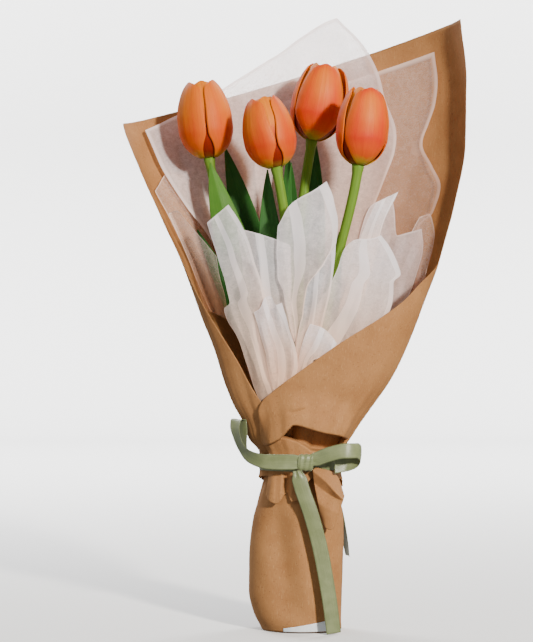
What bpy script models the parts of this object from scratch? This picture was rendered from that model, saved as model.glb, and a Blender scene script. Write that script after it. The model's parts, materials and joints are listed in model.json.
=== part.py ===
"""Wrapped bouquet: four tulips in a kraft paper cone lined with tissue, tied with a satin ribbon.

The frame is in metres, +Z up the stems, with its origin at the centre of the tied neck, where a
hand grips it. The paper opens towards -Y, and +X is on the right when looking at that open front.
Tables of sizes are in millimetres and are read through MM.
"""

from math import cos, pi, radians, sin, sqrt, tan

import bmesh
import bpy
import numpy as np
from mathutils import Vector

MM = 0.001

# Driving dimensions
KRAFT_THICKNESS = 0.7 * MM
TISSUE_THICKNESS = 0.5 * MM
RIBBON_WIDTH = 12 * MM
RIBBON_THICKNESS = 0.7 * MM
STEM_RADIUS = 4.0 * MM
STEM_FOOT = -105 * MM
SLEEVE_TOP = -10 * MM
SLEEVE_FOOT = -134.4 * MM
WRAP_TOP_LEFT = 270 * MM
WRAP_TOP_RIGHT = 354 * MM
SEAM_GAP = 2.2 * MM
# Degrees round from the back: the wrap's two sides at its top, where its left end goes under,
# and the ends of the sleeve's sheet, which overlap at the back
WRAP_TOP_ENDS = (-88, 86)
WRAP_UNDER = (-100, -125)
SLEEVE_ENDS = (-20, 380)
SLEEVE_UNDER = (20, 80)

# Cone of kraft paper: height, left side, right side, depth at the back, depth at the front
WRAP_SECTIONS = [
    (-30, -31.8, 39.6, 28.0, 28.0),
    (-20, -30.2, 38.8, 27.0, 27.0),
    (-9, -27.6, 36.4, 24.9, 24.9),
    (-1, -27.2, 36.0, 24.6, 24.6),
    (7, -28.0, 36.8, 24.9, 24.9),
    (17, -35.5, 43.0, 27.0, 26.4),
    (30, -40.0, 51.5, 29.0, 28.0),
    (45, -48.5, 62.5, 31.0, 29.6),
    (62, -55.5, 75.0, 34.0, 31.5),
    (80, -61.0, 84.5, 37.0, 33.5),
    (113, -73.5, 98.7, 42.0, 36.5),
    (159, -90.7, 115.0, 48.0, 41.0),
    (205, -111.5, 128.0, 54.0, 45.0),
    (254, -133.0, 136.2, 60.0, 48.0),
    (303, -152.0, 136.8, 66.0, 50.0),
    (354, -166.0, 132.5, 71.0, 50.0),
    (372, -170.0, 130.0, 72.0, 50.0),
]
# Heights of the cone's rows of faces, up to where they are shared out evenly to its top
WRAP_ROWS = [-30, -20, -9, -1, 7, 17, 30, 45, 62, 88, 120]
WRAP_UPPER_ROWS = 4
# Free edges of the wrapped sheet: height, degrees round from the back
WRAP_LEFT_EDGE = [
    (-30, 185), (17, 175), (30, 158), (46, 142), (62, 133),
    (118, 110), (163, 95), (217, 91), (270, 88), (354, 86),
]
WRAP_RIGHT_EDGE = [
    (-30, 232), (17, 232), (30, 228), (46, 218), (56, 205), (71, 187),
    (95, 162), (126, 128), (142, 115), (160, 97), (205, 91), (303, 88), (354, 86),
]
# Sleeve of kraft paper round the stems: height, left side, right side, depth
SLEEVE_SECTIONS = [
    (-134.4, -26.4, 36.8, 25.0),
    (-122, -32.5, 37.2, 26.0),
    (-104, -36.0, 37.8, 26.5),
    (-80, -36.0, 38.2, 26.5),
    (-48, -33.6, 38.0, 26.2),
    (-30, -28.8, 35.8, 23.6),
    (-20, -25.4, 33.4, 22.0),
    (-10, -22.6, 31.2, 20.0),
]

# Back tissue: the four sides of each sheet as (x, height), seen from the front, and how far it
# lies inside the kraft paper
BACK_TISSUE = {
    "tissue_back_right": {
        "inset": 4.2,
        "left": [(-10, -3), (-16, 60), (-26, 160), (-36, 285)],
        "right": [(16, -3), (42, 45), (78, 100), (100, 150), (104, 172), (100, 190),
                  (110, 207), (117, 223), (105, 257), (113, 288), (116, 306), (113, 331)],
        "top": [(-36, 285), (38, 308), (113, 331)],
    },
    "tissue_side_left": {
        "inset": 4.2,
        "left": [(-15, -3), (-26, 30), (-49, 75), (-81, 150), (-112, 217)],
        "right": [(-12, -3), (-17, 60), (-28, 130), (-44, 205)],
        "top": [(-112, 217), (-105, 232), (-76, 225), (-44, 205)],
    },
    "tissue_back_tall": {
        "inset": 6.9,
        "left": [(-13, -3), (-30, 50), (-50, 120), (-66, 172), (-94, 214), (-121, 267)],
        "right": [(14, -3), (30, 60), (58, 130), (84, 190), (89, 236), (74, 290), (36, 363)],
        "top": [(-121, 267), (-43, 315), (36, 363)],
    },
    "tissue_side_right": {
        "inset": 9.0,
        "left": [(14, -3), (32, 60), (44, 110), (54, 170), (82, 212)],
        "right": [(17, -3), (44, 45), (76, 100), (94, 140), (103, 176), (104, 200)],
        "top": [(82, 212), (94, 219), (104, 200)],
    },
}
# Front collar of folded tissue: the same, and how far it lies inside the cone's front
COLLAR_TISSUE = {
    "tissue_collar_left": {
        "inset": 5.8,
        "left": [(-15, -3), (-24, 30), (-34, 58), (-44, 92), (-54, 124), (-50, 140),
                 (-57, 165), (-62, 190)],
        "right": [(-3, -3), (-4, 70), (-22, 130), (-30, 152), (-38, 182), (-52, 203)],
        "top": [(-62, 190), (-57, 197), (-52, 203)],
    },
    "tissue_collar_centre": {
        "inset": 7.6,
        "left": [(-12, -3), (-12, 60), (-13, 120), (-14, 172), (-12, 188)],
        "right": [(10, -3), (14, 60), (18, 120), (30, 158), (33, 182), (29, 218)],
        "top": [(-12, 188), (-6, 199), (6, 209), (29, 218)],
    },
    "tissue_collar_right": {
        "inset": 9.3,
        "left": [(2, -3), (3, 60), (8, 110), (24, 140), (36, 168), (44, 176)],
        "right": [(16, -3), (36, 60), (62, 100), (77, 126), (83, 146), (77, 160), (69, 179)],
        "top": [(44, 176), (56, 177), (69, 179)],
    },
    "tissue_collar_back": {
        "inset": 10.7,
        "left": [(-14, -3), (-20, 50), (-34, 110), (-46, 184)],
        "right": [(6, -3), (2, 60), (-2, 110), (-4, 169)],
        "top": [(-46, 184), (-26, 176), (-4, 169)],
    },
}

# Tulips: where each straight stem crosses the neck, its slope, the height where it starts to
# bend, the base of the flower, and the flower's lean and turn. Lean is degrees towards +X.
TULIPS = [
    {"neck": (-3.0, 9.2), "slope": (-0.25, 0.010), "bend": 150, "flower": (-69, 12, 243),
     "lean": -6.6, "turn": 63, "wide": 1.0, "tall": 1.0},
    {"neck": (-4.6, 0.0), "slope": (0.0, -0.080), "bend": 140, "flower": (-15.2, -22, 232.6),
     "lean": -12, "turn": 72, "wide": 0.93, "tall": 0.91},
    {"neck": (4.6, 0.0), "slope": (-0.01, 0.085), "bend": 150, "flower": (14.4, 24, 258.6),
     "lean": 10, "turn": 3, "wide": 1.0, "tall": 1.0},
    {"neck": (2.0, -9.2), "slope": (0.195, -0.070), "bend": 150, "flower": (49.6, -27, 234.4),
     "lean": 6.5, "turn": 14, "wide": 0.93, "tall": 0.98},
]
# Leaves: tulip number, name, height where it leaves the stem, side of the stem (-1 front, 1 back),
# tip, width, and sideways bow
LEAVES = [
    (1, "front", 118, -1, (-68, 3, 238), 28, -4),
    (1, "back", 100, 1, (-57, 38, 254), 30, 10),
    (1, "low", 52, -1, (-78, -3, 184), 20, -6),
    (2, "left", 84, 1, (-22, -5, 232), 24, -12),
    (2, "right", 112, 1.7, (-3, 0, 238), 15, 3),
    (3, "left", 110, 2.0, (-5, 34, 250), 17, -7),
    (3, "right", 92, 1, (18, 34, 255), 22, 11),
    (4, "back", 70, 1, (35, -9, 182), 15, 4),
]

# Closed rings round the neck: the ribbon's turn, and the rubber band that binds the stems where
# they cross
BAND = {"centre": (4.4, 0.0), "half": (33.5, 26.4), "foot": -7, "top": 5}
STEM_TIE = {"centre": (0.4, 0.9), "half": (13.6, 16.6), "foot": -34, "top": -24}
STEM_TIE_THICKNESS = 1.2 * MM
KNOT_SIZE = (13, 6.4, 13)
KNOT_CENTRE = (8, -30.6, 0)
KNOT_ROUNDING = 2.4
# Label: its left and right ends, the heights of its sloping top edge, and its gap to the sleeve
LABEL_ENDS = (-9.6, 25.6)
LABEL_TOP = (-131.5, -125.6)
LABEL_OUTSET = 1.0
LABEL_THICKNESS = 0.4 * MM
LEAF_THICKNESS = 0.8 * MM

# Flower: height up the cup and radius of the cup, then the share of the flower's height and
# half the width of one tepal in degrees
CUP_PROFILE = [
    (0, 5.4), (2.5, 9.8), (7, 14.8), (14, 18.8), (23, 20.8), (32, 20.7), (41, 19.4),
    (49, 17.0), (56, 13.8), (61.5, 9.6),
]
TEPAL_HALF_WIDTH = [
    (0.0, 24), (0.10, 33), (0.25, 46), (0.45, 57), (0.70, 59), (0.88, 56), (0.96, 46), (1.0, 24),
]
CUP_HEIGHT = 61.5 * MM
OUTER_LAYER = 1.0 * MM
INNER_LAYER = -1.1 * MM
TEPAL_THICKNESS = 0.8 * MM
TEPALS = [("outer", "a", 0), ("inner", "a", 60), ("outer", "b", 120),
          ("inner", "b", 180), ("outer", "c", 240), ("inner", "c", 300)]


class Profile:
    """A smooth curve through rows of (position, value, value, ...) that never overshoots."""

    def __init__(self, rows):
        table = np.array(rows, float)
        self.at, self.value = table[:, 0], table[:, 1:]
        step = np.diff(self.at)[:, None]
        rise = np.diff(self.value, axis=0) / step
        self.slope = np.zeros_like(self.value)
        self.slope[0], self.slope[-1] = rise[0], rise[-1]
        before, after = rise[:-1], rise[1:]
        same_way = before * after > 0
        mean = 2 * before * after / np.where(same_way, before + after, 1)
        self.slope[1:-1] = np.where(same_way, mean, 0)

    def __call__(self, position):
        position = min(max(position, self.at[0]), self.at[-1])
        i = min(max(int(np.searchsorted(self.at, position)) - 1, 0), len(self.at) - 2)
        span = self.at[i + 1] - self.at[i]
        t = (position - self.at[i]) / span
        return (
            (1 + 2 * t) * (1 - t) ** 2 * self.value[i]
            + t * (1 - t) ** 2 * span * self.slope[i]
            + t * t * (3 - 2 * t) * self.value[i + 1]
            + t * t * (t - 1) * span * self.slope[i + 1]
        )


class Outline:
    """A smooth line through points, read by the share of its length from 0 to 1."""

    def __init__(self, points):
        points = np.array(points, float)
        run = np.concatenate([[0], np.cumsum(np.linalg.norm(np.diff(points, axis=0), axis=1))])
        self.curve = Profile(np.column_stack([run / run[-1], points]))

    def __call__(self, share):
        return self.curve(share)


wrap_section = Profile(WRAP_SECTIONS)
wrap_left_edge = Profile(WRAP_LEFT_EDGE)
wrap_right_edge = Profile(WRAP_RIGHT_EDGE)
sleeve_section = Profile(SLEEVE_SECTIONS)
cup_radius = Profile(CUP_PROFILE)
tepal_half_width = Profile(TEPAL_HALF_WIDTH)


def smooth_step(x):
    x = min(max(x, 0.0), 1.0)
    return x * x * (3 - 2 * x)


def mix(a, b, share):
    return a + (b - a) * share


def clear_scene():
    for obj in list(bpy.data.objects):
        bpy.data.objects.remove(obj, do_unlink=True)


def material(name, colour, roughness):
    mat = bpy.data.materials.new(name)
    mat.use_nodes = True
    shader = mat.node_tree.nodes["Principled BSDF"]
    shader.inputs["Base Color"].default_value = (*colour, 1)
    shader.inputs["Roughness"].default_value = roughness
    shader.inputs["Metallic"].default_value = 0
    mat.diffuse_color = (*colour, 1)
    return mat


def add_object(name, mesh, mat, parent=None):
    obj = bpy.data.objects.new(name, mesh)
    mesh.materials.append(mat)
    bpy.context.scene.collection.objects.link(obj)
    obj.parent = parent
    return obj


def finish_mesh(bm, name):
    """Turns a bmesh into a mesh whose faces point outwards."""
    bmesh.ops.recalc_face_normals(bm, faces=bm.faces)
    mesh = bpy.data.meshes.new(name)
    bm.to_mesh(mesh)
    bm.free()
    mesh.shade_smooth()
    mesh.set_sharp_from_angle(angle=radians(40))
    return mesh


def shell_mesh(name, point_at, columns, rows, thickness, ring=False):
    """A closed sheet whose two faces are point_at(u, v, 0) and point_at(u, v, thickness)."""
    bm = bmesh.new()
    last = columns if ring else columns + 1
    sides = [
        [
            [bm.verts.new(point_at(i / columns, j / rows, depth)) for i in range(last)]
            for j in range(rows + 1)
        ]
        for depth in (0, thickness)
    ]
    for side in sides:
        for low, high in zip(side, side[1:]):
            for i in range(columns):
                k = (i + 1) % last
                bm.faces.new((low[i], low[k], high[k], high[i]))
    outer, inner = sides
    for row in (0, -1):
        for i in range(columns):
            k = (i + 1) % last
            bm.faces.new((outer[row][i], outer[row][k], inner[row][k], inner[row][i]))
    if not ring:
        for edge in (0, -1):
            for j in range(rows):
                bm.faces.new(
                    (outer[j][edge], outer[j + 1][edge], inner[j + 1][edge], inner[j][edge])
                )
    return finish_mesh(bm, name)


def tube_mesh(name, centres, radii, sides):
    """A closed round bar through centres, with level rings and a flat cap at each end."""
    bm = bmesh.new()
    rings = []
    for centre, radius in zip(centres, radii):
        ring = [
            bm.verts.new(
                centre + radius * Vector((cos(2 * pi * k / sides), sin(2 * pi * k / sides), 0))
            )
            for k in range(sides)
        ]
        rings.append(ring)
    for low, high in zip(rings, rings[1:]):
        for k in range(sides):
            m = (k + 1) % sides
            bm.faces.new((low[k], low[m], high[m], high[k]))
    bm.faces.new(rings[0])
    bm.faces.new(rings[-1])
    return finish_mesh(bm, name)


def grid_mesh(name, point_at, columns, rows):
    """An open grid of faces at point_at(u, v), for a Solidify modifier to thicken."""
    bm = bmesh.new()
    bmesh.ops.create_grid(bm, x_segments=columns, y_segments=rows, size=1)
    for vert in bm.verts:
        vert.co = point_at((vert.co.x + 1) / 2, (vert.co.y + 1) / 2)
    return finish_mesh(bm, name)


def thicken(obj, thickness):
    solidify = obj.modifiers.new("Thickness", "SOLIDIFY")
    solidify.thickness = thickness
    solidify.offset = 0
    return obj


# Paper


def section_point(sizes, angle, inset):
    """The point at an angle round from the back, that far inside a section's outline."""
    left, right, back, front = (size * MM for size in sizes)
    depth = back if cos(angle) > 0 else front
    half = (right - left) / 2 - inset
    return (left + right) / 2 + half * sin(angle), (depth - inset) * cos(angle)


def kraft_wrap(u, v, depth):
    """The cone: one sheet from its left free edge (u 0), round the back, to its right one (u 1)."""
    top_angle = mix(*WRAP_TOP_ENDS, u)
    top = mix(WRAP_TOP_LEFT, WRAP_TOP_RIGHT, (1 + sin(radians(top_angle))) / 2)
    rows = np.array(WRAP_ROWS + [mix(WRAP_ROWS[-1], top / MM, k / WRAP_UPPER_ROWS)
                                 for k in range(1, WRAP_UPPER_ROWS + 1)])
    height = np.interp(v, np.linspace(0, 1, len(rows)), rows) * MM
    left = wrap_left_edge(height / MM)[0]
    angle = mix(-left, wrap_right_edge(height / MM)[0], u)
    under = SEAM_GAP * smooth_step((angle - WRAP_UNDER[0]) / (WRAP_UNDER[1] - WRAP_UNDER[0]))
    x, y = section_point(wrap_section(height / MM), radians(angle), under + depth)
    return Vector((x, y, height))


def kraft_sleeve(u, v, depth):
    """The sleeve: a sheet rolled a little over one turn, overlapping at the back."""
    height = mix(SLEEVE_FOOT, SLEEVE_TOP, v)
    left, right, half_depth = sleeve_section(height / MM)
    angle = mix(*SLEEVE_ENDS, u)
    share = (angle - SLEEVE_UNDER[0]) / (SLEEVE_UNDER[1] - SLEEVE_UNDER[0])
    under = SEAM_GAP * (1 - smooth_step(share))
    sizes = (left, right, half_depth, half_depth)
    x, y = section_point(sizes, radians(angle), under + depth)
    return Vector((x, y, height))


def sheet_at(form, side):
    """Point function of a tissue sheet: its outline seen from the front, laid on the cone's back
    (side 1) or front (side -1)."""
    left, right, top = Outline(form["left"]), Outline(form["right"]), Outline(form["top"])

    def point(u, v, depth):
        on_left, on_right, on_top = left(v), right(v), top(u)
        foot = mix(left(0), right(0), u)
        corners = mix(mix(left(0), right(0), u), mix(left(1), right(1), u), v)
        x, height = mix(on_left, on_right, u) + mix(foot, on_top, v) - corners
        low, high, back, front = wrap_section(height)
        inset = form["inset"] + depth / MM
        if side > 0:
            inset += 1.8 * (1 - smooth_step((height - 14) / 25))
        across = (x - (low + high) / 2) / ((high - low) / 2 - inset)
        across = min(max(across, -0.985), 0.985)
        reach = (back if side > 0 else front) - inset
        return Vector((x, side * reach * sqrt(1 - across * across), height)) * MM

    return point


def label_point(u, v, depth):
    """A small sticker near the sleeve's foot, its top edge a little askew."""
    x = mix(*LABEL_ENDS, u)
    height = mix(SLEEVE_FOOT / MM + 0.4, mix(*LABEL_TOP, u), v)
    left, right, half_depth = sleeve_section(height)
    outset = LABEL_OUTSET - depth / MM
    across = (x - (left + right) / 2) / ((right - left) / 2 + outset)
    return Vector((x, -(half_depth + outset) * sqrt(1 - across * across), height)) * MM


# Ribbon


def ribbon_at(points, across):
    """Point function of a flat ribbon along points, with the way across it at each point."""
    path = Outline(points)
    side = Profile([(i / (len(across) - 1), *way) for i, way in enumerate(across)])

    def point(u, v):
        return Vector(path(v)) * MM + Vector(side(v)).normalized() * RIBBON_WIDTH * (u - 0.5)

    return point


RIBBON_PATHS = {
    "ribbon_loop_right": {
        "points": [(16, -32, 3), (27, -35.5, 7), (39, -36.5, 9.5), (48, -32.5, 9.5),
                   (51.5, -27, 6), (48.5, -23.5, 1.5), (41, -23.5, -1.5), (31, -26.5, -3)],
        "across": [(0, 0, 1), (0, 0.1, 1), (0.05, 0.15, 1), (0.1, 0.2, 1), (0.1, 0.3, 1),
                   (0, 0.3, 1), (0, 0.2, 1), (0, 0.1, 1)],
        "steps": 18,
    },
    "ribbon_loop_left": {
        "points": [(0, -32, 0.5), (-12, -32.6, 0.5), (-24, -31.5, 1), (-34, -27.5, 3.5),
                   (-41, -21.5, 9), (-46, -16, 18), (-48, -12, 27), (-46.5, -9, 33),
                   (-43.5, -7, 33), (-42.5, -6.5, 24), (-42, -6.5, 13), (-40.5, -7, 6)],
        "across": [(0, 0, 1), (0, 0, 1), (0.1, 0, 1), (0.4, -0.3, 0.85), (0.5, -0.55, 0.6),
                   (0.5, -0.8, 0.2), (0.47, -0.88, 0), (0.47, -0.88, 0), (0.47, -0.88, 0),
                   (0.47, -0.88, 0), (0.47, -0.88, 0), (0.47, -0.88, 0)],
        "steps": 28,
    },
    "ribbon_tail_front": {
        "points": [(2, -33.5, -7.5), (5, -34.5, -20), (12, -34.8, -40), (19, -34.2, -66),
                   (24, -33.6, -92), (27.5, -33, -114), (30, -32.6, -134)],
        "across": [(1, 0, 0.15), (1, 0, 0.25), (1, 0, 0.3), (1, 0.1, 0.22), (1, 0.25, 0.14),
                   (1, 0.3, 0.12), (1, 0.3, 0.12)],
        "steps": 20,
    },
    "ribbon_tail_back": {
        "points": [(28, 22.5, -9.5), (29, 22.8, -20), (32, 21, -34), (36.5, 16.5, -50),
                   (40.5, 12, -66), (42.5, 9.5, -78)],
        "across": [(-0.83, 0.55, 0), (-0.83, 0.55, 0), (-0.8, 0.6, 0), (-0.65, 0.75, 0),
                   (-0.4, 0.9, 0), (-0.2, 1, 0)],
        "steps": 16,
    },
}


def ring_at(form):
    """Point function of an oval ring that stands on end."""

    def point(u, v, depth):
        turn = 2 * pi * u
        x = form["centre"][0] + (form["half"][0] - depth / MM) * sin(turn)
        y = form["centre"][1] + (form["half"][1] - depth / MM) * cos(turn)
        return Vector((x, y, mix(form["foot"], form["top"], v))) * MM

    return point


def knot_mesh(name):
    """The bow's knot: a short crossways wrap, rounded at its edges."""
    bm = bmesh.new()
    bmesh.ops.create_cube(bm, size=1)
    bmesh.ops.scale(bm, vec=Vector(KNOT_SIZE) * MM, verts=bm.verts)
    bmesh.ops.bevel(
        bm, geom=bm.edges[:], offset=KNOT_ROUNDING * MM, segments=2, profile=0.6, affect="EDGES"
    )
    return finish_mesh(bm, name)


# Tulips


def stem_line(tulip):
    """Function from height to the stem's centre: straight, then bending into the flower."""
    neck, slope = np.array(tulip["neck"]), np.array(tulip["slope"])
    bend = tulip["bend"]
    start = neck + slope * bend
    end = np.array(tulip["flower"][:2])
    top = tulip["flower"][2]
    lean = np.array([tan(radians(tulip["lean"])), 0.0])

    def centre(height):
        if height <= bend:
            x, y = neck + slope * height
        else:
            t = (height - bend) / (top - bend)
            span = top - bend
            x, y = (
                (1 + 2 * t) * (1 - t) ** 2 * start
                + t * (1 - t) ** 2 * span * slope
                + t * t * (3 - 2 * t) * end
                + t * t * (t - 1) * span * lean
            )
        return Vector((x, y, height)) * MM

    return centre


def stem_mesh(name, tulip):
    """A stem from its cut foot to the knob that the tepals grow from."""
    centre = stem_line(tulip)
    top = tulip["flower"][2]
    heights = [STEM_FOOT / MM, 0, tulip["bend"] - 20]
    heights += [mix(tulip["bend"], top - 6, k / 5) for k in range(6)] + [top - 1.8]
    radii = [STEM_RADIUS] * (len(heights) - 1) + [4.5 * MM]
    return tube_mesh(name, [centre(h) for h in heights], radii, 10)


def hinge_radius(tulip, layer):
    """How far a tepal's foot is from the middle of the flower."""
    return cup_radius(0)[0] * tulip["wide"] * MM + layer


def tepal_point(tulip, layer):
    """Point function of one tepal of the closed cup, in a frame with its hinge at the origin and
    the way outwards along +X."""
    hinge = hinge_radius(tulip, layer)

    def point(u, v):
        dip = 3.0 * MM * (2 * u - 1) ** 2 * smooth_step((v - 0.75) / 0.25)
        height = v * CUP_HEIGHT - dip
        radius = cup_radius(height / MM)[0] * tulip["wide"] * MM + layer
        angle = (2 * u - 1) * radians(tepal_half_width(v)[0])
        return Vector((radius * cos(angle) - hinge, radius * sin(angle), height * tulip["tall"]))

    return point


def pistil_mesh(name):
    """One solid: a foot, six stamens standing on it, and the ovary with its three-lobed stigma."""
    bm = bmesh.new()
    profile = [
        (0.4, 2.7, 0), (2.6, 5.9, 0), (3.1, 6.1, 0), (3.5, 2.9, 0), (10, 3.2, 0),
        (18.5, 2.0, 0), (21.2, 3.4, 0.3), (23, 2.2, 0.3),
    ]
    sides = 12
    rings = []
    for height, radius, lobes in profile:
        ring = []
        for k in range(sides):
            a = 2 * pi * k / sides
            reach = radius * (1 + lobes * cos(3 * a))
            ring.append(bm.verts.new(Vector((reach * cos(a), reach * sin(a), height)) * MM))
        rings.append(ring)
    shelf = []
    for level, (low, high) in enumerate(zip(rings, rings[1:])):
        for k in range(sides):
            m = (k + 1) % sides
            face = bm.faces.new((low[k], low[m], high[m], high[k]))
            if level == 2 and k % 2 == 0:
                shelf.append(face)
    bm.faces.new(rings[0])
    bm.faces.new(rings[-1])
    bmesh.ops.recalc_face_normals(bm, faces=bm.faces)
    bmesh.ops.inset_individual(bm, faces=shelf, thickness=0.55 * MM)
    stamen = [(6.0, 0.55, 0.9), (1.2, 0.3, 1.9), (9.5, 0.8, 0.6)]
    for rise, outwards, widen in stamen:
        shelf = bmesh.ops.extrude_discrete_faces(bm, faces=shelf)["faces"]
        for face in shelf:
            centre = face.calc_center_median()
            step = Vector((centre.x, centre.y, 0)).normalized() * outwards
            step.z = rise
            for vert in face.verts:
                vert.co = centre + (vert.co - centre) * widen + step * MM
    return finish_mesh(bm, name)


def leaf_point(tulip, leave, side, tip, width, bow):
    """Point function of a leaf that leaves its stem, rises beside it and ends in a point."""
    stem = stem_line(tulip)
    start = stem(leave) / MM + Vector((0, side * 5.4, 0))
    above = stem(leave + 45) / MM + Vector((bow * 0.6, side * 6.4, 0))
    end = Vector(tip)

    def spine(v):
        late = mix(above, end, v) + Vector((bow * sin(pi * v) * 0.5, 0, 0))
        return mix(mix(start, above, v), late, v)

    def point(u, v):
        share = 2 * u - 1
        half = width / 2 * mix(0.36, 1, smooth_step(v / 0.42))
        half *= sqrt(max(1 - max(0, (v - 0.42) / 0.58) ** 2.2, 0.0016))
        along = (spine(min(v + 0.02, 1)) - spine(max(v - 0.02, 0))).normalized()
        across = along.cross(Vector((0, 1, 0))).normalized()
        fold = -side * 1.8 * share * share * (half / width)
        return (spine(v) + across * half * share + Vector((0, fold, 0))) * MM

    return point


def build_tulip(number, tulip, mats):
    """One tulip: stem, leaves, and a flower of six tepals round the pistil and stamens."""
    name = f"tulip_{number}"
    add_object(f"{name}_stem", stem_mesh(f"{name}_stem", tulip), mats["stem"])
    for owner, which, leave, side, tip, width, bow in LEAVES:
        if owner == number:
            leaf = grid_mesh(
                f"{name}_leaf_{which}", leaf_point(tulip, leave, side, tip, width, bow), 2, 8
            )
            thicken(add_object(f"{name}_leaf_{which}", leaf, mats["leaf"]), LEAF_THICKNESS)
    base = bpy.data.objects.new(f"{name}_flower_base", None)
    bpy.context.scene.collection.objects.link(base)
    base.location = Vector(tulip["flower"]) * MM
    base.rotation_euler = (radians(2), radians(tulip["lean"]), 0)
    add_object(f"{name}_pistil", pistil_mesh(f"{name}_pistil"), mats["pistil"], base)
    for kind, letter, turn in TEPALS:
        layer = OUTER_LAYER if kind == "outer" else INNER_LAYER
        mesh = grid_mesh(f"{name}_tepal_{kind}_{letter}", tepal_point(tulip, layer), 4, 7)
        tepal = add_object(f"{name}_tepal_{kind}_{letter}", mesh, mats["tepal"], base)
        around = radians(turn + tulip["turn"] - 90)
        radius = hinge_radius(tulip, layer)
        tepal.location = (radius * cos(around), radius * sin(around), 0)
        tepal.rotation_euler = (0, 0, around)
        thicken(tepal, TEPAL_THICKNESS)


def main():
    clear_scene()
    mats = {
        "kraft": material("kraft_paper", (0.48, 0.29, 0.15), 0.85),
        "tissue": material("tissue_paper", (0.86, 0.80, 0.79), 0.7),
        "ribbon": material("satin_ribbon", (0.36, 0.44, 0.28), 0.45),
        "tepal": material("tulip_tepal", (0.90, 0.28, 0.07), 0.5),
        "stem": material("tulip_stem", (0.28, 0.48, 0.12), 0.5),
        "leaf": material("tulip_leaf", (0.07, 0.22, 0.06), 0.5),
        "pistil": material("pistil", (0.45, 0.5, 0.15), 0.6),
        "tie": material("rubber_tie", (0.5, 0.36, 0.2), 0.6),
        "label": material("label_paper", (0.86, 0.88, 0.9), 0.5),
    }
    add_object(
        "kraft_wrap",
        shell_mesh("kraft_wrap", kraft_wrap, 28, 14, KRAFT_THICKNESS),
        mats["kraft"],
    )
    add_object(
        "kraft_sleeve",
        shell_mesh("kraft_sleeve", kraft_sleeve, 28, 5, KRAFT_THICKNESS),
        mats["kraft"],
    )
    for forms, side in ((BACK_TISSUE, 1), (COLLAR_TISSUE, -1)):
        for name, form in forms.items():
            mesh = shell_mesh(name, sheet_at(form, side), 5, 10, TISSUE_THICKNESS)
            add_object(name, mesh, mats["tissue"])
    label = shell_mesh("label", label_point, 6, 1, LABEL_THICKNESS)
    add_object("label", label, mats["label"])

    band = shell_mesh("ribbon_band", ring_at(BAND), 32, 1, RIBBON_THICKNESS, ring=True)
    add_object("ribbon_band", band, mats["ribbon"])
    knot = add_object("ribbon_knot", knot_mesh("ribbon_knot"), mats["ribbon"])
    knot.location = Vector(KNOT_CENTRE) * MM
    for name, form in RIBBON_PATHS.items():
        strip = grid_mesh(name, ribbon_at(form["points"], form["across"]), 1, form["steps"])
        thicken(add_object(name, strip, mats["ribbon"]), RIBBON_THICKNESS)

    for number, tulip in enumerate(TULIPS, 1):
        build_tulip(number, tulip, mats)
    tie = shell_mesh("stem_tie", ring_at(STEM_TIE), 20, 1, STEM_TIE_THICKNESS, ring=True)
    add_object("stem_tie", tie, mats["tie"])


main()
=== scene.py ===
"""Looks of the wrapped tulip bouquet.

Lengths in the tables are in millimetres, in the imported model's frame: +X right and +Z up as seen
from the open front, which faces -Y. The origin is the centre of the tied neck.
"""

import json
from math import cos, pi, radians, sin

import bpy
import numpy as np
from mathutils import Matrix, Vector


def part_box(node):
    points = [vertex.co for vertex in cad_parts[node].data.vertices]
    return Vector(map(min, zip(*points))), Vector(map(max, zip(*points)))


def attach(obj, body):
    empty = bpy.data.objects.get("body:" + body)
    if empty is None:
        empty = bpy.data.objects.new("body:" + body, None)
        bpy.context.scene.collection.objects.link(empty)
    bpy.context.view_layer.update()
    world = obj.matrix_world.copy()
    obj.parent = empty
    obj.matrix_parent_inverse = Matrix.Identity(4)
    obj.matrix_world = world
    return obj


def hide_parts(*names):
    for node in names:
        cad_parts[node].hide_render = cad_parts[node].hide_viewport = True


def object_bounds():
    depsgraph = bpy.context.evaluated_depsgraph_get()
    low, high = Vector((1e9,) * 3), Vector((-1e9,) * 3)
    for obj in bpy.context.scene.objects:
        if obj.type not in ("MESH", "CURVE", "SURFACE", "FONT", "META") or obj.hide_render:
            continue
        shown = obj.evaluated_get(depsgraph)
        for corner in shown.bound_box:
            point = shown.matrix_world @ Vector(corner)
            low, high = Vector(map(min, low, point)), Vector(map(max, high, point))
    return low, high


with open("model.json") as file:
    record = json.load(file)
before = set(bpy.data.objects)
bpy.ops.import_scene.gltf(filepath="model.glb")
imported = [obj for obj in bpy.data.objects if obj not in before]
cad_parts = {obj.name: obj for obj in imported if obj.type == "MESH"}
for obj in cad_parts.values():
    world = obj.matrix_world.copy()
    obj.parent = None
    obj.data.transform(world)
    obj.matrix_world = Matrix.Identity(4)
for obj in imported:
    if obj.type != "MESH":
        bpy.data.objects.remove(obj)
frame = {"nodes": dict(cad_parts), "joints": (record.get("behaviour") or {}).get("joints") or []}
CAD_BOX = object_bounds()

MM = 0.001
KRAFT_THICKNESS = 0.45
RIBBON_THICKNESS = 0.32

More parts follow.
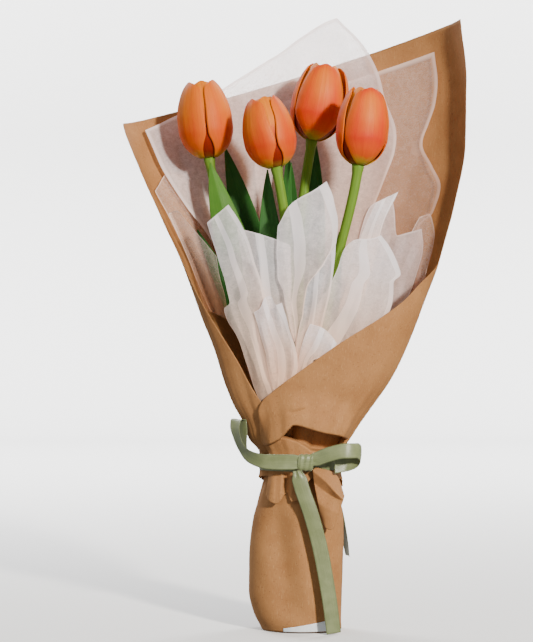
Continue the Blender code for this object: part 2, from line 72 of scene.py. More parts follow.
# Cone of kraft paper: height, left side, right side, depth at the back, depth at the front
WRAP_SECTIONS = [
    (-52, -32.0, 40.0, 28.6, 29.0),
    (-30, -31.0, 39.2, 28.0, 28.6),
    (-20, -29.6, 38.4, 27.0, 27.4),
    (-9, -27.6, 36.4, 24.9, 24.9),
    (-1, -27.2, 36.0, 24.6, 24.6),
    (7, -28.0, 36.8, 24.9, 24.9),
    (17, -35.5, 43.0, 27.0, 26.4),
    (30, -40.0, 51.5, 29.0, 28.0),
    (45, -48.5, 62.5, 31.0, 29.6),
    (62, -55.5, 75.0, 34.0, 31.5),
    (80, -61.0, 84.5, 37.0, 33.5),
    (113, -73.5, 98.7, 42.0, 36.5),
    (159, -90.7, 115.0, 48.0, 41.0),
    (205, -111.5, 128.0, 54.0, 45.0),
    (254, -133.0, 136.2, 60.0, 48.0),
    (303, -152.0, 136.8, 66.0, 50.0),
    (354, -166.0, 132.5, 71.0, 50.0),
    (372, -170.0, 130.0, 72.0, 50.0),
]
# Free edges of the wrapped sheet: height, degrees round from the back
WRAP_LEFT_EDGE = [
    (-52, 185), (-30, 185), (17, 175), (30, 158), (46, 142), (62, 133),
    (118, 110), (163, 95), (217, 91), (270, 88), (354, 86),
]
WRAP_RIGHT_EDGE = [
    (-52, 232), (-30, 232), (17, 232), (30, 228), (46, 218), (56, 205), (71, 187),
    (95, 162), (126, 128), (142, 115), (160, 97), (205, 91), (303, 88), (354, 86),
]
WRAP_TOP_LEFT = 270
WRAP_TOP_RIGHT = 354
SEAM_GAP = 2.2
# How far down the skirt under the tie reaches: degrees round from the back, height
SKIRT_FOOT = [
    (-236, -28), (-215, -29), (-205, -27), (-196, -26), (-190, -21), (-180, -30.5), (-166, -31),
    (-158, -29), (-150, -15), (-120, -12), (-90, -14), (-45, -20), (-10, -27), (30, -20),
    (70, -22), (95, -15), (135, -14), (165, -13), (185, -30), (192, -31), (197, -24), (213, -33),
    (236, -26),
]
# Pleats pressed into the wrap by the tie: height, depth on the cone
PLEAT_DEPTH = [(-52, 2.2), (-24, 1.4), (-9, 0.5), (7, 0.5), (20, 1.2), (45, 0.9), (90, 0.45),
               (170, 0.25), (372, 0.2)]
# The lip of paper that bulges over the tie at the front: across, height of its edge
LIP_EDGE = [(-34, 8), (-22.7, 13), (-11, 19.4), (-4.5, 26.4), (-1.2, 29.2), (4, 28.4), (11, 26.2),
            (23, 22.8), (35, 20.2), (43, 16.4), (50, 12)]
# Top of the lit paper that shows under the lip, in front of the hollow: across, height
WEDGE_TOP = [(-34, 6), (-22.7, 12.6), (-11, 18.6), (0, 16.0), (7, 12.4), (14, 8), (50, 6)]
LIP_BULGE = 7.5
LIP_HOLLOW = 17.0
# Room that the hollow leaves in front of the middle of the stem behind it, and how fast the paper
# falls back at the stem's sides
STEM_ROOM = 5.6
STEM_DRAPE = 0.09
# Creases in the paper over the neck: across and height of the start and the end, depth, width
NECK_CREASES = [
    ((-6, 38.5, 10, 42.5), 0.9, 2.6), ((-3, 41.5, 9, 44.5), -0.9, 2.6),
    ((-22, 52, -4, 62), 0.5, 6.0), ((20, 33, 40, 50), 0.6, 6.0), ((4, 33, 18, 37), -0.5, 5.0),
]

# Sleeve of kraft paper round the stems: height, left side, right side, depth
SLEEVE_FOOT = -134.4
SLEEVE_SECTIONS = [
    (SLEEVE_FOOT, -26.4, 36.8, 25.0),
    (-122, -32.5, 37.2, 26.0),
    (-104, -36.0, 37.8, 26.5),
    (-80, -36.0, 38.2, 26.5),
    (-48, -33.6, 38.0, 26.2),
    (-30, -28.8, 35.8, 23.6),
    (-20, -25.4, 33.4, 22.0),
    (-10, -22.6, 31.2, 20.0),
]


class Profile:
    """A smooth curve through rows of (position, value, value, ...) that never overshoots. It
    reads arrays of positions."""

    def __init__(self, rows):
        table = np.array(rows, float)
        self.at, self.value = table[:, 0], table[:, 1:]
        step = np.diff(self.at)[:, None]
        rise = np.diff(self.value, axis=0) / step
        self.slope = np.zeros_like(self.value)
        self.slope[0], self.slope[-1] = rise[0], rise[-1]
        before, after = rise[:-1], rise[1:]
        same_way = before * after > 0
        mean = 2 * before * after / np.where(same_way, before + after, 1)
        self.slope[1:-1] = np.where(same_way, mean, 0)

    def __call__(self, position):
        position = np.clip(np.asarray(position, float), self.at[0], self.at[-1])
        i = np.clip(np.searchsorted(self.at, position) - 1, 0, len(self.at) - 2)
        span = (self.at[i + 1] - self.at[i])[..., None]
        t = (position - self.at[i])[..., None] / span
        found = (
            (1 + 2 * t) * (1 - t) ** 2 * self.value[i]
            + t * (1 - t) ** 2 * span * self.slope[i]
            + t * t * (3 - 2 * t) * self.value[i + 1]
            + t * t * (t - 1) * span * self.slope[i + 1]
        )
        return found[..., 0] if found.shape[-1] == 1 else found


class Outline(Profile):
    """A smooth line through points, read by the share of its length from 0 to 1."""

    def __init__(self, points):
        points = np.array(points, float)
        run = np.concatenate([[0], np.cumsum(np.linalg.norm(np.diff(points, axis=0), axis=1))])
        super().__init__(np.column_stack([run / run[-1], points]))


wrap_section = Profile(WRAP_SECTIONS)
wrap_left_edge = Profile(WRAP_LEFT_EDGE)
wrap_right_edge = Profile(WRAP_RIGHT_EDGE)
sleeve_section = Profile(SLEEVE_SECTIONS)
skirt_foot = Profile(SKIRT_FOOT)
pleat_depth = Profile(PLEAT_DEPTH)
lip_edge = Profile(LIP_EDGE)
wedge_top = Profile(WEDGE_TOP)


def smooth_step(x):
    x = np.clip(x, 0.0, 1.0)
    return x * x * (3 - 2 * x)


def mix(a, b, share):
    return a + (b - a) * share


def rows(count, last=True):
    """Shares from 0 to 1 for the rows of a grid."""
    return np.linspace(0, 1, count, endpoint=last)[:, None]


def columns(count, low=0, high=1):
    return np.linspace(low, high, count)[None, :]


def turns(count):
    """Angles all the way round, for the columns of a closed grid."""
    return np.linspace(0, 2 * pi, count, endpoint=False)[None, :]


def xyz(x, y, z):
    return np.stack(np.broadcast_arrays(x, y, z), axis=-1)


def split(values):
    return np.moveaxis(values, -1, 0)


def unit(vectors):
    return vectors / np.linalg.norm(vectors, axis=-1, keepdims=True)


def plane_waves(points, length, seed, form, count):
    """Adds up waves of about one length that run in seeded directions."""
    rng = np.random.default_rng(seed)
    ways = unit(rng.normal(size=(count, points.shape[-1])))
    rates = 2 * pi / (length * rng.uniform(0.7, 1.6, count))
    return form(points @ (ways * rates[:, None]).T + rng.uniform(0, 2 * pi, count)).sum(-1)


def soft_noise(points, length, seed, count=9):
    """Smooth bumps, about -1 to 1."""
    return plane_waves(points, length, seed, np.sin, count) / count**0.5 / 1.2


def crumple(points, length, seed, count=7):
    """Flat facets that meet in sharp creases, as in creased paper, about -1 to 1."""
    return plane_waves(points, length, seed, lambda a: np.arcsin(np.sin(a)), count) / count**0.5


def zigzag(x):
    """A triangle wave from -1 to 1 with period 1."""
    return 2 / pi * np.arcsin(np.sin(2 * pi * x))


# ---------------------------------------------------------------- meshes


def corners(grid):
    """The four corners of every cell of a grid."""
    return np.stack([grid[:-1, :-1], grid[:-1, 1:], grid[1:, 1:], grid[1:, :-1]], axis=2)


def grid_object(name, points, materials, closed=False, thickness=0.0, offset=0.0):
    """A sheet through rows of points in millimetres, with its rows and columns as its UV map."""
    count = points.shape[0]
    index = np.arange(count * points.shape[1]).reshape(points.shape[:2])
    if closed:
        index = np.column_stack([index, index[:, 0]])
    faces = corners(index).reshape(-1, 4)
    mesh = bpy.data.meshes.new(name)
    mesh.from_pydata((points.reshape(-1, 3) * MM).tolist(), [], faces.tolist())
    place = np.stack(np.broadcast_arrays(columns(index.shape[1]), rows(count)), axis=-1)
    uv = corners(place).reshape(-1).astype(np.float32)
    mesh.uv_layers.new(name="UVMap").data.foreach_set("uv", uv)
    mesh.shade_smooth()
    for material in materials:
        mesh.materials.append(material)
    obj = bpy.data.objects.new(name, mesh)
    bpy.context.scene.collection.objects.link(obj)
    if thickness:
        solid = obj.modifiers.new("Thickness", "SOLIDIFY")
        solid.thickness = thickness * MM
        solid.offset = offset
        solid.material_offset = len(materials) - 1
    return obj


# ---------------------------------------------------------------- materials


class Look:
    """A material built from a Principled shader, with short ways to add and join nodes."""

    def __init__(self, name, **sockets):
        self.material = bpy.data.materials.new(name)
        self.material.use_nodes = True
        self.tree = self.material.node_tree
        self.shader = self.tree.nodes["Principled BSDF"]
        self.output = self.tree.nodes["Material Output"]
        for socket, value in sockets.items():
            self.shader.inputs[socket.replace("_", " ")].default_value = value

    def node(self, kind, inputs=None, **settings):
        made = self.tree.nodes.new(f"ShaderNode{kind}")
        for setting, value in settings.items():
            setattr(made, setting, value)
        for socket, value in (inputs or {}).items():
            if isinstance(value, bpy.types.NodeSocket):
                self.tree.links.new(value, made.inputs[socket])
            else:
                made.inputs[socket].default_value = value
        return made

    def place(self, kind, scale=(1, 1, 1), turn=(0, 0, 0)):
        """Object or UV coordinates, stretched."""
        source = self.node("TexCoord").outputs[kind]
        sockets = {"Vector": source, "Scale": scale, "Rotation": turn}
        return self.node("Mapping", sockets).outputs["Vector"]

    def uv(self):
        """Shares of the way across and along the piece."""
        split_uv = self.node("SeparateXYZ", {"Vector": self.node("TexCoord").outputs["UV"]})
        return split_uv.outputs["X"], split_uv.outputs["Y"]

    def noise(self, vector, scale, detail=4.0, roughness=0.55, distortion=0.0):
        sockets = {"Vector": vector, "Scale": scale, "Detail": detail, "Roughness": roughness,
                   "Distortion": distortion}
        return self.node("TexNoise", sockets).outputs["Fac"]

    def ramp(self, factor, stops):
        """Colours or greys by factor: stops are (position, colour)."""
        ramp = self.node("ValToRGB", {"Fac": factor})
        line = ramp.color_ramp
        while len(line.elements) < len(stops):
            line.elements.new(0.5)
        for element, (position, colour) in zip(line.elements, stops):
            element.position = position
            grey = isinstance(colour, (int, float))
            element.color = (colour, colour, colour, 1) if grey else (*colour, 1)
        return ramp.outputs["Color"]

    def blend(self, a, b, factor):
        return self.node("MixRGB", {"Color1": a, "Color2": b, "Fac": factor}).outputs["Color"]

    def math(self, operation, a, b=0.0):
        return self.node("Math", {0: a, 1: b}, operation=operation).outputs["Value"]

    def off_middle(self, across):
        return self.math("ABSOLUTE", self.math("SUBTRACT", across, 0.5))

    def colour(self, value):
        self.tree.links.new(value, self.shader.inputs["Base Color"])

    def roughness(self, value):
        self.tree.links.new(value, self.shader.inputs["Roughness"])

    def bump(self, height, strength, distance):
        sockets = {"Height": height, "Strength": strength, "Distance": distance}
        normal = self.node("Bump", sockets).outputs["Normal"]
        self.tree.links.new(normal, self.shader.inputs["Normal"])
        return normal


def kraft_look(name, light, dark):
    """Brown paper: cloudy pulp, long fibres lying mostly one way, and small dark flecks."""
    look = Look(name, Roughness=0.78, Specular_IOR_Level=0.35)
    place = look.place("Object")
    clouds = look.ramp(look.noise(place, 45, 5), [(0.3, 0.0), (0.7, 1.0)])
    base = look.blend((*dark, 1), (*light, 1), clouds)
    fibres = look.noise(look.place("Object", (1500, 1500, 230), (0.2, 0.3, 0)), 1.0, 3)
    base = look.blend(base, (0.52, 0.29, 0.12, 1), look.ramp(fibres, [(0.56, 0.0), (0.74, 0.45)]))
    flecks = look.noise(look.place("Object", (520, 520, 900)), 1.0, 2)
    base = look.blend(base, (0.13, 0.05, 0.018, 1), look.ramp(flecks, [(0.60, 0.0), (0.78, 0.6)]))
    look.colour(base)
    grain = look.noise(place, 1100, 3)
    look.bump(look.math("ADD", grain, look.math("MULTIPLY", fibres, 0.7)), 0.22, 0.0003)
    return look.material


def tissue_look(name, colour, painted_foot_lighting, through, low, high, double):
    """Translucent tissue: long tangled fibres and cloudy pulp that let more or less light by, bands
    where it is folded double, cut edges that catch the light, and towards the foot a painted tint for
    the warm light that the kraft bounces onto it, darkened on the thin tissue to the painted brown
    shade of the kraft behind it."""
    look = Look(name, Roughness=0.62, Specular_IOR_Level=0.25)
    place = look.place("Object")
    pulp = look.noise(place, 260, 6, 0.75, 0.6)
    clouds = look.noise(place, 38, 3)
    fibres = look.noise(look.place("Object", (420, 420, 1300), (0.5, 0.2, 0.9)), 1.0, 3, 0.6, 1.5)
    body = look.math("ADD", look.math("MULTIPLY", pulp, 0.5), look.math("MULTIPLY", fibres, 0.3))
    body = look.math("ADD", body, look.math("MULTIPLY", clouds, 0.2))
    shade = look.ramp(body, [(0.36, tuple(c * 0.92 for c in colour)), (0.64, colour)])
    across, along = look.uv()
    # Painted light: towards the foot the colour takes the warm light bounced from the kraft, or on the
    # thin tissue the painted brown shade of the kraft behind it
    foot = look.ramp(along, [(0.20, 1.0), (0.50, 0.7), (0.85, 0.0)])
    look.colour(look.blend(shade, (*painted_foot_lighting, 1), foot))
    normal = look.bump(body, 0.3, 0.0003)
    glow = look.node("BsdfTranslucent", {"Color": (*through, 1), "Normal": normal})
    clear = look.node("BsdfTransparent", {"Color": (1, 1, 1, 1)})
    lit = look.node("MixShader", {0: 0.22, 1: look.shader.outputs[0], 2: glow.outputs[0]})
    rim = look.math("MAXIMUM", look.ramp(look.off_middle(across), [(0.472, 0.0), (0.49, 0.8)]),
                    look.ramp(along, [(0.982, 0.0), (0.994, 0.8)]))
    bands = look.noise(look.place("UV", (3.4, 0.5, 1)), 1.0, 0, 0.0, 0.2)
    doubled = look.ramp(bands, [(0.47, 0.0), (0.487, double)])
    cover = look.math("MAXIMUM", look.ramp(body, [(0.38, low), (0.62, high)]), rim)
    cover = look.math("MAXIMUM", cover, doubled)
    whole = look.node("MixShader", {0: cover, 1: clear.outputs[0], 2: lit.outputs[0]})
    look.tree.links.new(whole.outputs[0], look.output.inputs["Surface"])
    return look.material


def tepal_look(name, gold, ramp=None):
    """A tulip petal: colour runs up its length and out to its edges, over fine lengthways veins.
    Gold is how far the coral gives way to golden orange, from 0 to 1."""
    look = Look(name, Roughness=0.5, Specular_IOR_Level=0.2, Subsurface_Weight=0.12,
                Subsurface_Scale=0.0022, Subsurface_Radius=(1.0, 0.35, 0.05))
    across, along = look.uv()
    cloud = look.noise(look.place("Object"), 70, 3)
    along = look.math("ADD", along, look.math("MULTIPLY", look.math("SUBTRACT", cloud, 0.5), 0.16))
    if ramp:
        base = look.ramp(along, ramp)
    else:
        coral = [
            (0.00, (0.28, 0.32, 0.02)), (0.04, (0.44, 0.24, 0.01)), (0.10, (0.58, 0.075, 0.001)),
            (0.28, (0.54, 0.028, 0.001)), (0.52, (0.60, 0.048, 0.001)), (0.80, (0.62, 0.085, 0.001)),
            (1.00, (0.56, 0.040, 0.001)),
        ]
        bright = np.array([0.62, 0.150, 0.001])
        base = look.ramp(along, [
            (at, tuple(mix(np.array(c), bright, gold * mix(0.25, 1.0, at)))) for at, c in coral
        ])
    side = look.off_middle(across)
    edge = look.math("MULTIPLY", look.ramp(side, [(0.28, 0.0), (0.46, 0.7), (0.50, 0.95)]),
                     look.ramp(along, [(0.15, 0.35), (0.5, 1.0)]))
    base = look.blend(base, (0.64, 0.135, 0.001, 1), edge)
    if not ramp:
        # Painted highlight: a paler golden streak down the middle of the upper petal, where its curve
        # catches the light
        painted_midrib_highlight = look.ramp(side, [(0.0, 0.72), (0.12, 0.5), (0.27, 0.0)])
        reach = look.ramp(along, [(0.30, 0.0), (0.60, 1.0), (0.88, 0.9), (0.97, 0.1)])
        base = look.blend(base, (0.66, 0.180, 0.004, 1), look.math("MULTIPLY", painted_midrib_highlight, reach))
    veins = look.noise(look.place("UV", (46, 1.6, 1)), 1.0, 5, 0.6, 0.15)
    base = look.blend(base, (0.42, 0.016, 0.001, 1), look.ramp(veins, [(0.45, 0.0), (0.75, 0.38)]))
    look.colour(base)
    look.roughness(look.ramp(veins, [(0.3, 0.44), (0.7, 0.62)]))
    look.bump(veins, 0.45, 0.0005)
    return look.material


def plant_look(name, foot, top, vein, across_scale, strength):
    """Stem or leaf: a waxy green skin, darker towards the foot, with fine parallel veins."""
    look = Look(name, Roughness=0.5, Specular_IOR_Level=0.14, Subsurface_Weight=0.08,
                Subsurface_Scale=0.0015, Subsurface_Radius=(0.4, 1.0, 0.2))
    cloud = look.noise(look.place("Object"), 90, 4)
    drift = look.math("MULTIPLY", look.math("SUBTRACT", cloud, 0.5), 0.5)
    base = look.ramp(look.math("ADD", look.uv()[1], drift), [(0.1, foot), (0.95, top)])
    veins = look.noise(look.place("UV", (across_scale, 1.5, 1)), 1.0, 4, 0.6)
    base = look.blend(base, (*vein, 1), look.ramp(veins, [(0.45, 0.0), (0.72, 0.5)]))
    look.colour(base)
    look.roughness(look.ramp(cloud, [(0.3, 0.46), (0.7, 0.62)]))
    look.bump(veins, strength, 0.0004)
    return look.material


def ribbon_look(name):
    """Satin ribbon: fine warp threads along it, a closer weave across, and woven edges."""
    look = Look(name, Roughness=0.38, Specular_IOR_Level=0.5, Sheen_Weight=0.5,
                Sheen_Roughness=0.35)
    threads = look.noise(look.place("UV", (70, 3, 1)), 1.0, 3)
    cloud = look.noise(look.place("Object"), 120, 3)
    base = look.ramp(threads, [(0.3, (0.105, 0.130, 0.050)), (0.7, (0.19, 0.22, 0.095))])
    base = look.blend(base, (0.23, 0.26, 0.125, 1), look.ramp(cloud, [(0.4, 0.0), (0.7, 0.5)]))
    selvedge = look.ramp(look.off_middle(look.uv()[0]), [(0.44, 0.0), (0.455, 1.0)])
    base = look.blend(base, (0.09, 0.11, 0.045, 1), look.math("MULTIPLY", selvedge, 0.45))
    look.colour(base)
    weave = look.node("TexWave", {"Vector": look.place("UV"), "Scale": 60.0,
                                  "Distortion": 0.4}, bands_direction="Y").outputs["Fac"]
    height = look.math("ADD", threads, look.math("MULTIPLY", weave, 0.25))
    height = look.math("ADD", height, look.math("MULTIPLY", selvedge, 0.6))
    look.bump(height, 0.25, 0.0002)
    return look.material


def label_look(name):
    """A blank white sticker with a faint paper grain and a thin pale blue band along one end."""
    look = Look(name, Roughness=0.35, Specular_IOR_Level=0.5, Coat_Weight=0.15)
    grain = look.noise(look.place("Object"), 600, 3)
    base = look.ramp(grain, [(0.3, (0.72, 0.76, 0.80)), (0.7, (0.84, 0.86, 0.88))])
    band = look.ramp(look.uv()[0], [(0.0, 1.0), (0.16, 1.0), (0.17, 0.0)])
    look.colour(look.blend(base, (0.55, 0.68, 0.78, 1), look.math("MULTIPLY", band, 0.6)))
    look.bump(grain, 0.1, 0.0002)
    return look.material


def speckled_look(name, low, high, roughness):
    """A plain mottled skin for the small inner pieces."""
    look = Look(name, Roughness=roughness)
    grain = look.noise(look.place("Object"), 300, 4)
    look.colour(look.ramp(grain, [(0.35, low), (0.65, high)]))
    look.bump(grain, 0.3, 0.0003)
    return look.material


KRAFT = kraft_look("kraft_paper", (0.37, 0.172, 0.058), (0.30, 0.130, 0.040))
# The fourth colour of each tissue is painted light at its foot: warm light bounced from the kraft, and
# for the thin tissue the brown shade of the kraft behind it
TISSUE = tissue_look("tissue_paper", (0.99, 0.87, 0.88), (0.92, 0.66, 0.52), (1.0, 0.76, 0.68),
                     0.40, 0.68, 0)
TISSUE_THIN = tissue_look("tissue_paper_thin", (0.97, 0.76, 0.66), (0.50, 0.24, 0.13),
                          (1.0, 0.62, 0.48), 0.22, 0.44, 0)
COLLAR = tissue_look("tissue_paper_folded", (0.99, 0.94, 0.98), (0.95, 0.64, 0.46),
                     (1.0, 0.80, 0.72), 0.44, 0.72, 0.90)
# Petal colours up their length: the face inside the cup, and the back of the inner petals, dark
# where the outer petals shade them and golden where they show between them
PETAL_INSIDE = tepal_look("tulip_petal_inside", 0, [
    (0.00, (0.36, 0.36, 0.03)), (0.14, (0.70, 0.27, 0.01)), (0.50, (0.92, 0.27, 0.004)),
    (1.00, (0.95, 0.26, 0.004)),
])
PETAL_INNER = tepal_look("tulip_petal_inner", 0, [
    (0.00, (0.22, 0.10, 0.010)), (0.07, (0.17, 0.012, 0.001)), (0.34, (0.24, 0.014, 0.001)),
    (0.46, (0.56, 0.075, 0.001)), (0.60, (0.66, 0.175, 0.001)), (1.00, (0.66, 0.185, 0.001)),
])
STEM = plant_look("tulip_stem", (0.045, 0.11, 0.008), (0.13, 0.235, 0.024), (0.075, 0.16, 0.012),
                  14, 0.15)
# Two copies of one leaf colour: a dark one for painted shade, which most leaves take, and a lighter one
# for the leaf painted as lit
LEAF_PAINTED_SHADE = plant_look("tulip_leaf", (0.006, 0.032, 0.007), (0.022, 0.095, 0.014),
                       (0.035, 0.13, 0.02), 30, 0.35)
LEAF_PAINTED_LIT = plant_look("tulip_leaf_painted_lit", (0.02, 0.085, 0.008), (0.065, 0.17, 0.018),
                        (0.09, 0.21, 0.028), 30, 0.35)
RIBBON = ribbon_look("satin_ribbon")
LABEL = label_look("blank_label")
PISTIL = speckled_look("pistil", (0.30, 0.36, 0.08), (0.55, 0.50, 0.12), 0.5)
STAMEN = speckled_look("stamen", (0.05, 0.03, 0.06), (0.30, 0.24, 0.10), 0.6)
TIE = speckled_look("rubber_tie", (0.30, 0.20, 0.10), (0.42, 0.30, 0.16), 0.6)


# ---------------------------------------------------------------- paper


def put(obj, body, slot, *nodes):
    """Rides a new piece on its body and hides the solids it stands for. Its slot is not used."""
    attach(obj, body)
    if nodes:
        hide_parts(*nodes)


def wrap_point(angle, height, inset):
    """A point of the cone's paper, at an angle round from the back in radians."""
    left, right, back, front = split(wrap_section(height))
    depth = np.where(np.cos(angle) > 0, back, front) - inset
    half = (right - left) / 2 - inset
    return xyz((left + right) / 2 + half * np.sin(angle), depth * np.cos(angle), height)


def make_wrap():
    """The kraft cone: pleated where it is tied, bulging over the tie at the front."""
    u = columns(300)
    top_angle = np.radians(mix(-88, 86, u))
    top = mix(WRAP_TOP_LEFT, WRAP_TOP_RIGHT, (1 + np.sin(top_angle)) / 2)
    # The corner at the top left is folded over and rounded
    top = top - 9 * np.clip(1 - u / 0.035, 0, 1) ** 2
    foot_angle = mix(-wrap_left_edge(-20.0), wrap_right_edge(-20.0), u)
    stops = [skirt_foot(foot_angle), -9 + 0 * u, 7 + 0 * u, 46 + 0 * u]
    parts = [mix(low, high, rows(count, last=False))
             for low, high, count in zip(stops, stops[1:], (26, 16, 70))]
    height = np.concatenate([*parts, mix(stops[-1], top, rows(130) ** 1.15)])
    degrees = mix(-wrap_left_edge(height), wrap_right_edge(height), u)
    angle = np.radians(degrees)
    under = SEAM_GAP * smooth_step((-degrees - 100) / 25)
    smooth = wrap_point(angle, height, under)
    at = smooth.copy()
    # Pleats, sharper near the tie
    pleats = 0.6 * zigzag(degrees / 31 + 0.13 * np.sin(degrees / 17)) + 0.4 * zigzag(degrees / 13.7)
    front = smooth_step((np.abs(degrees) - 95) / 35)
    depth = pleat_depth(height) * pleats * mix(1.25, 0.7, front)
    waves = 0.9 * soft_noise(at, 120, 3) * smooth_step((height - 60) / 120)
    fine = 0.22 * crumple(at, 38, 5) * smooth_step((height - 20) / 60)
    out = xyz(np.sin(angle), np.cos(angle), 0)
    at = at + out * (depth + waves + fine)[..., None]
    # The front bulges over the tie, with a hollow in its shade
    across = at[..., 0]
    edge = lip_edge(across)
    facing = smooth_step((-at[..., 1] - 6) / 9) * smooth_step((height - 6.5) / 2.0)
    in_lip = smooth_step((across + 27) / 8) * smooth_step((48 - across) / 7) * facing
    over = smooth_step((height - edge + 0.7) / 1.4)
    bulge = LIP_BULGE * over * (1 - smooth_step((height - edge) / 32))
    above_wedge = smooth_step((height - wedge_top(across)) / 1.6)
    hollow = LIP_HOLLOW * (1 - over) * above_wedge
    at[..., 1] += in_lip * (hollow - bulge)
    # The hollow lies against the stem behind it
    stem = Profile(stem_centres("tulip_4_stem"))(height)
    behind = stem[..., 1] - STEM_ROOM + STEM_DRAPE * (across - stem[..., 0]) ** 2
    at[..., 1] = np.where(np.cos(angle) < 0, np.minimum(at[..., 1], behind), at[..., 1])
    # Short creases above the lip
    for line, deep, wide in NECK_CREASES:
        at[..., 1] += deep * crease(across, height, line, wide) * facing
    # The dark fold and the tab beside it, at the left of the skirt
    low_front = smooth_step((-at[..., 1] - 10) / 8) * smooth_step((-7 - height) / 4)
    at[..., 1] += 4.6 * crease(across, height, (-6.5, -4, -7.5, -38), 4.0) * low_front
    at[..., 1] -= 2.2 * crease(across, height, (-17, -10, -17, -42), 8.0) * low_front
    obj = grid_object("kraft_wrap_sheet", at, [KRAFT], thickness=KRAFT_THICKNESS, offset=-1)
    put(obj, "wrap", "kraft", "kraft_wrap")


def crease(x, z, line, width):
    """1 on the line between two points, falling evenly to 0 at width from it and at its ends."""
    x1, z1, x2, z2 = line
    length = np.hypot(x2 - x1, z2 - z1)
    along = ((x - x1) * (x2 - x1) + (z - z1) * (z2 - z1)) / length**2
    side = np.abs((x - x1) * (z2 - z1) - (z - z1) * (x2 - x1)) / length
    return np.clip(1 - side / width, 0, 1) * np.clip(1.15 - np.abs(2 * along - 1) ** 3, 0, 1)


def make_sleeve():
    """The sleeve: paper rolled round the stems, its inner edge tucked in at the back."""
    height, degrees = np.broadcast_arrays(mix(SLEEVE_FOOT, -10, rows(90)), columns(220, -20, 380))
    left, right, depth = split(sleeve_section(height))
    angle = np.radians(degrees)
    under = SEAM_GAP * (1 - smooth_step((degrees - 20) / 60))
    half = (right - left) / 2 - under
    # A soft ridge runs down the front under the ribbon's tail, and the paper is drawn in at its left
    off_ridge = degrees - (183 - 17 * smooth_step((-height - 30) / 90))
    ridge = 1.3 * np.exp(-((off_ridge / 9) ** 2)) - 3.4 * np.exp(-(((off_ridge - 27) / 17) ** 2))
    ridge = ridge * smooth_step((-height - 26) / 22) * smooth_step((height + 130) / 20)
    smooth = xyz((left + right) / 2 + half * np.sin(angle), (depth - under) * np.cos(angle), height)
    out = xyz(np.sin(angle), np.cos(angle), 0)
    dents = 0.5 * soft_noise(smooth, 55, 11) + 0.2 * crumple(smooth, 30, 12) + ridge
    tucks = 0.9 * zigzag(degrees / 24) * smooth_step((height + 42) / 26)
    rim = smooth_step((height - SLEEVE_FOOT) / 6)
    at = smooth + out * (dents * rim + tucks * 0.6)[..., None]
    obj = grid_object("kraft_sleeve_sheet", at, [KRAFT], thickness=KRAFT_THICKNESS, offset=-1)
    put(obj, "wrap", "kraft", "kraft_sleeve")


def make_skirt_fold():
    """The corner of the skirt that turns out at the right of the tie: a ridge, the shaded valley
    under it, and the flap that hangs from the valley."""
    ridge = [(13.5, -31.5, -6), (24, -34.0, -15), (31, -35.5, -23), (37.5, -33.5, -29)]
    valley = [(14.5, -28.8, -16), (22, -29.6, -22), (30, -31.0, -27), (37.3, -33.3, -29.8)]
    middle = [(17.5, -32.0, -31), (23, -34.5, -34.5), (28.5, -35.5, -37), (34, -34.0, -40)]
    hem = [(21.5, -31.5, -48), (24, -34.0, -51.5), (27.5, -34.6, -52.5), (31, -33.0, -50)]
    shoulder = [(15.5, -27.5, -4), (27, -23.8, -7), (33.5, -20.5, -12), (38.6, -22.0, -27)]
    share = np.linspace(0, 1, 40)
    lines = [Outline(line)(share) for line in (shoulder, ridge, valley, middle, hem)]
    at = []
    for low, high, steps in zip(lines, lines[1:], (12, 10, 16, 16)):
        at += [mix(low, high, k / steps) for k in range(steps)]
    smooth = np.array(at + [lines[-1]])
    at = smooth.copy()
    at[..., 1] += 0.35 * crumple(at, 16, 21)
    obj = grid_object("kraft_skirt_fold", at, [KRAFT], thickness=KRAFT_THICKNESS)
    put(obj, "wrap", "kraft")


# Sheets of tissue. Each row has the sheet's name, the side of the cone (1 back, -1 front), its finish
# and how far it lies inside the kraft. Then come its left and right edges from foot to top, and the
# points of its top edge between them, as (across, height) seen from the front. Last come its
# creases: across and height of the start and the end, then how far they stand out, and their width
FOOT = 31
BACK_SHEETS = [
    ("tissue_back_right", 1, TISSUE_THIN, 4.2,
        [(-10, FOOT), (-16, 60), (-26, 160), (-36, 285)],
        [(16, FOOT), (42, 45), (78, 100), (101, 148), (104, 172), (102, 188), (112, 199), (118.5, 221),
         (112, 238), (105, 256), (110, 272), (115, 288), (117, 304), (114, 331)],
        [(38, 308)],
        [((60, 150, 112, 320), 1.6, 14), ((84, 200, 106, 256), -2.2, 9), ((90, 160, 117, 222), 2.4, 10),
         ((40, 120, 76, 300), -1.6, 16)]),
    ("tissue_side_left", 1, TISSUE_THIN, 4.2,
        [(-73, 120), (-81, 150), (-95, 182), (-112.5, 216)],
        [(-54, 114), (-56, 150), (-62, 180), (-70, 212)],
        [(-103.5, 231), (-88, 226)],
        [((-90, 150, -108, 228), 2.0, 12), ((-60, 80, -88, 200), -1.6, 12)]),
    ("tissue_back_tall", 1, TISSUE, 6.9,
        [(-13, FOOT), (-30, 50), (-50, 120), (-66, 172), (-88, 204), (-107, 234), (-121, 266)],
        [(14, FOOT), (30, 60), (46, 130), (58, 185), (72, 222), (84, 262), (76, 292), (62, 333),
         (36, 363)],
        [(-104, 276), (-86, 286), (-62, 302), (-14, 333), (28, 360.5)],
        [((-112, 262, -66, 170), 2.6, 9), ((-98, 268, -76, 190), -2.6, 9),
         ((-84, 200, -58, 150), 2.4, 8), ((-70, 206, -62, 170), -2.0, 6), ((36, 360, 72, 240), 1.0, 8),
         ((48, 352, 84, 262), -1.6, 7), ((-40, 180, -30, 310), 1.2, 18), ((10, 150, 20, 330), -1.2, 18),
         ((58, 130, 80, 262), 2.0, 8)]),
    ("tissue_side_right", 1, TISSUE, 9.0,
        [(14, FOOT), (32, 60), (46, 116), (52, 172), (62, 204), (78, 214)],
        [(17, FOOT), (44, 45), (76, 100), (95, 140), (104, 174), (103, 186)],
        [(80, 211), (84, 181)],
        [((52, 140, 74, 206), 2.2, 7), ((66, 140, 80, 184), -2.4, 6), ((74, 120, 98, 180), 2.4, 7)]),
]
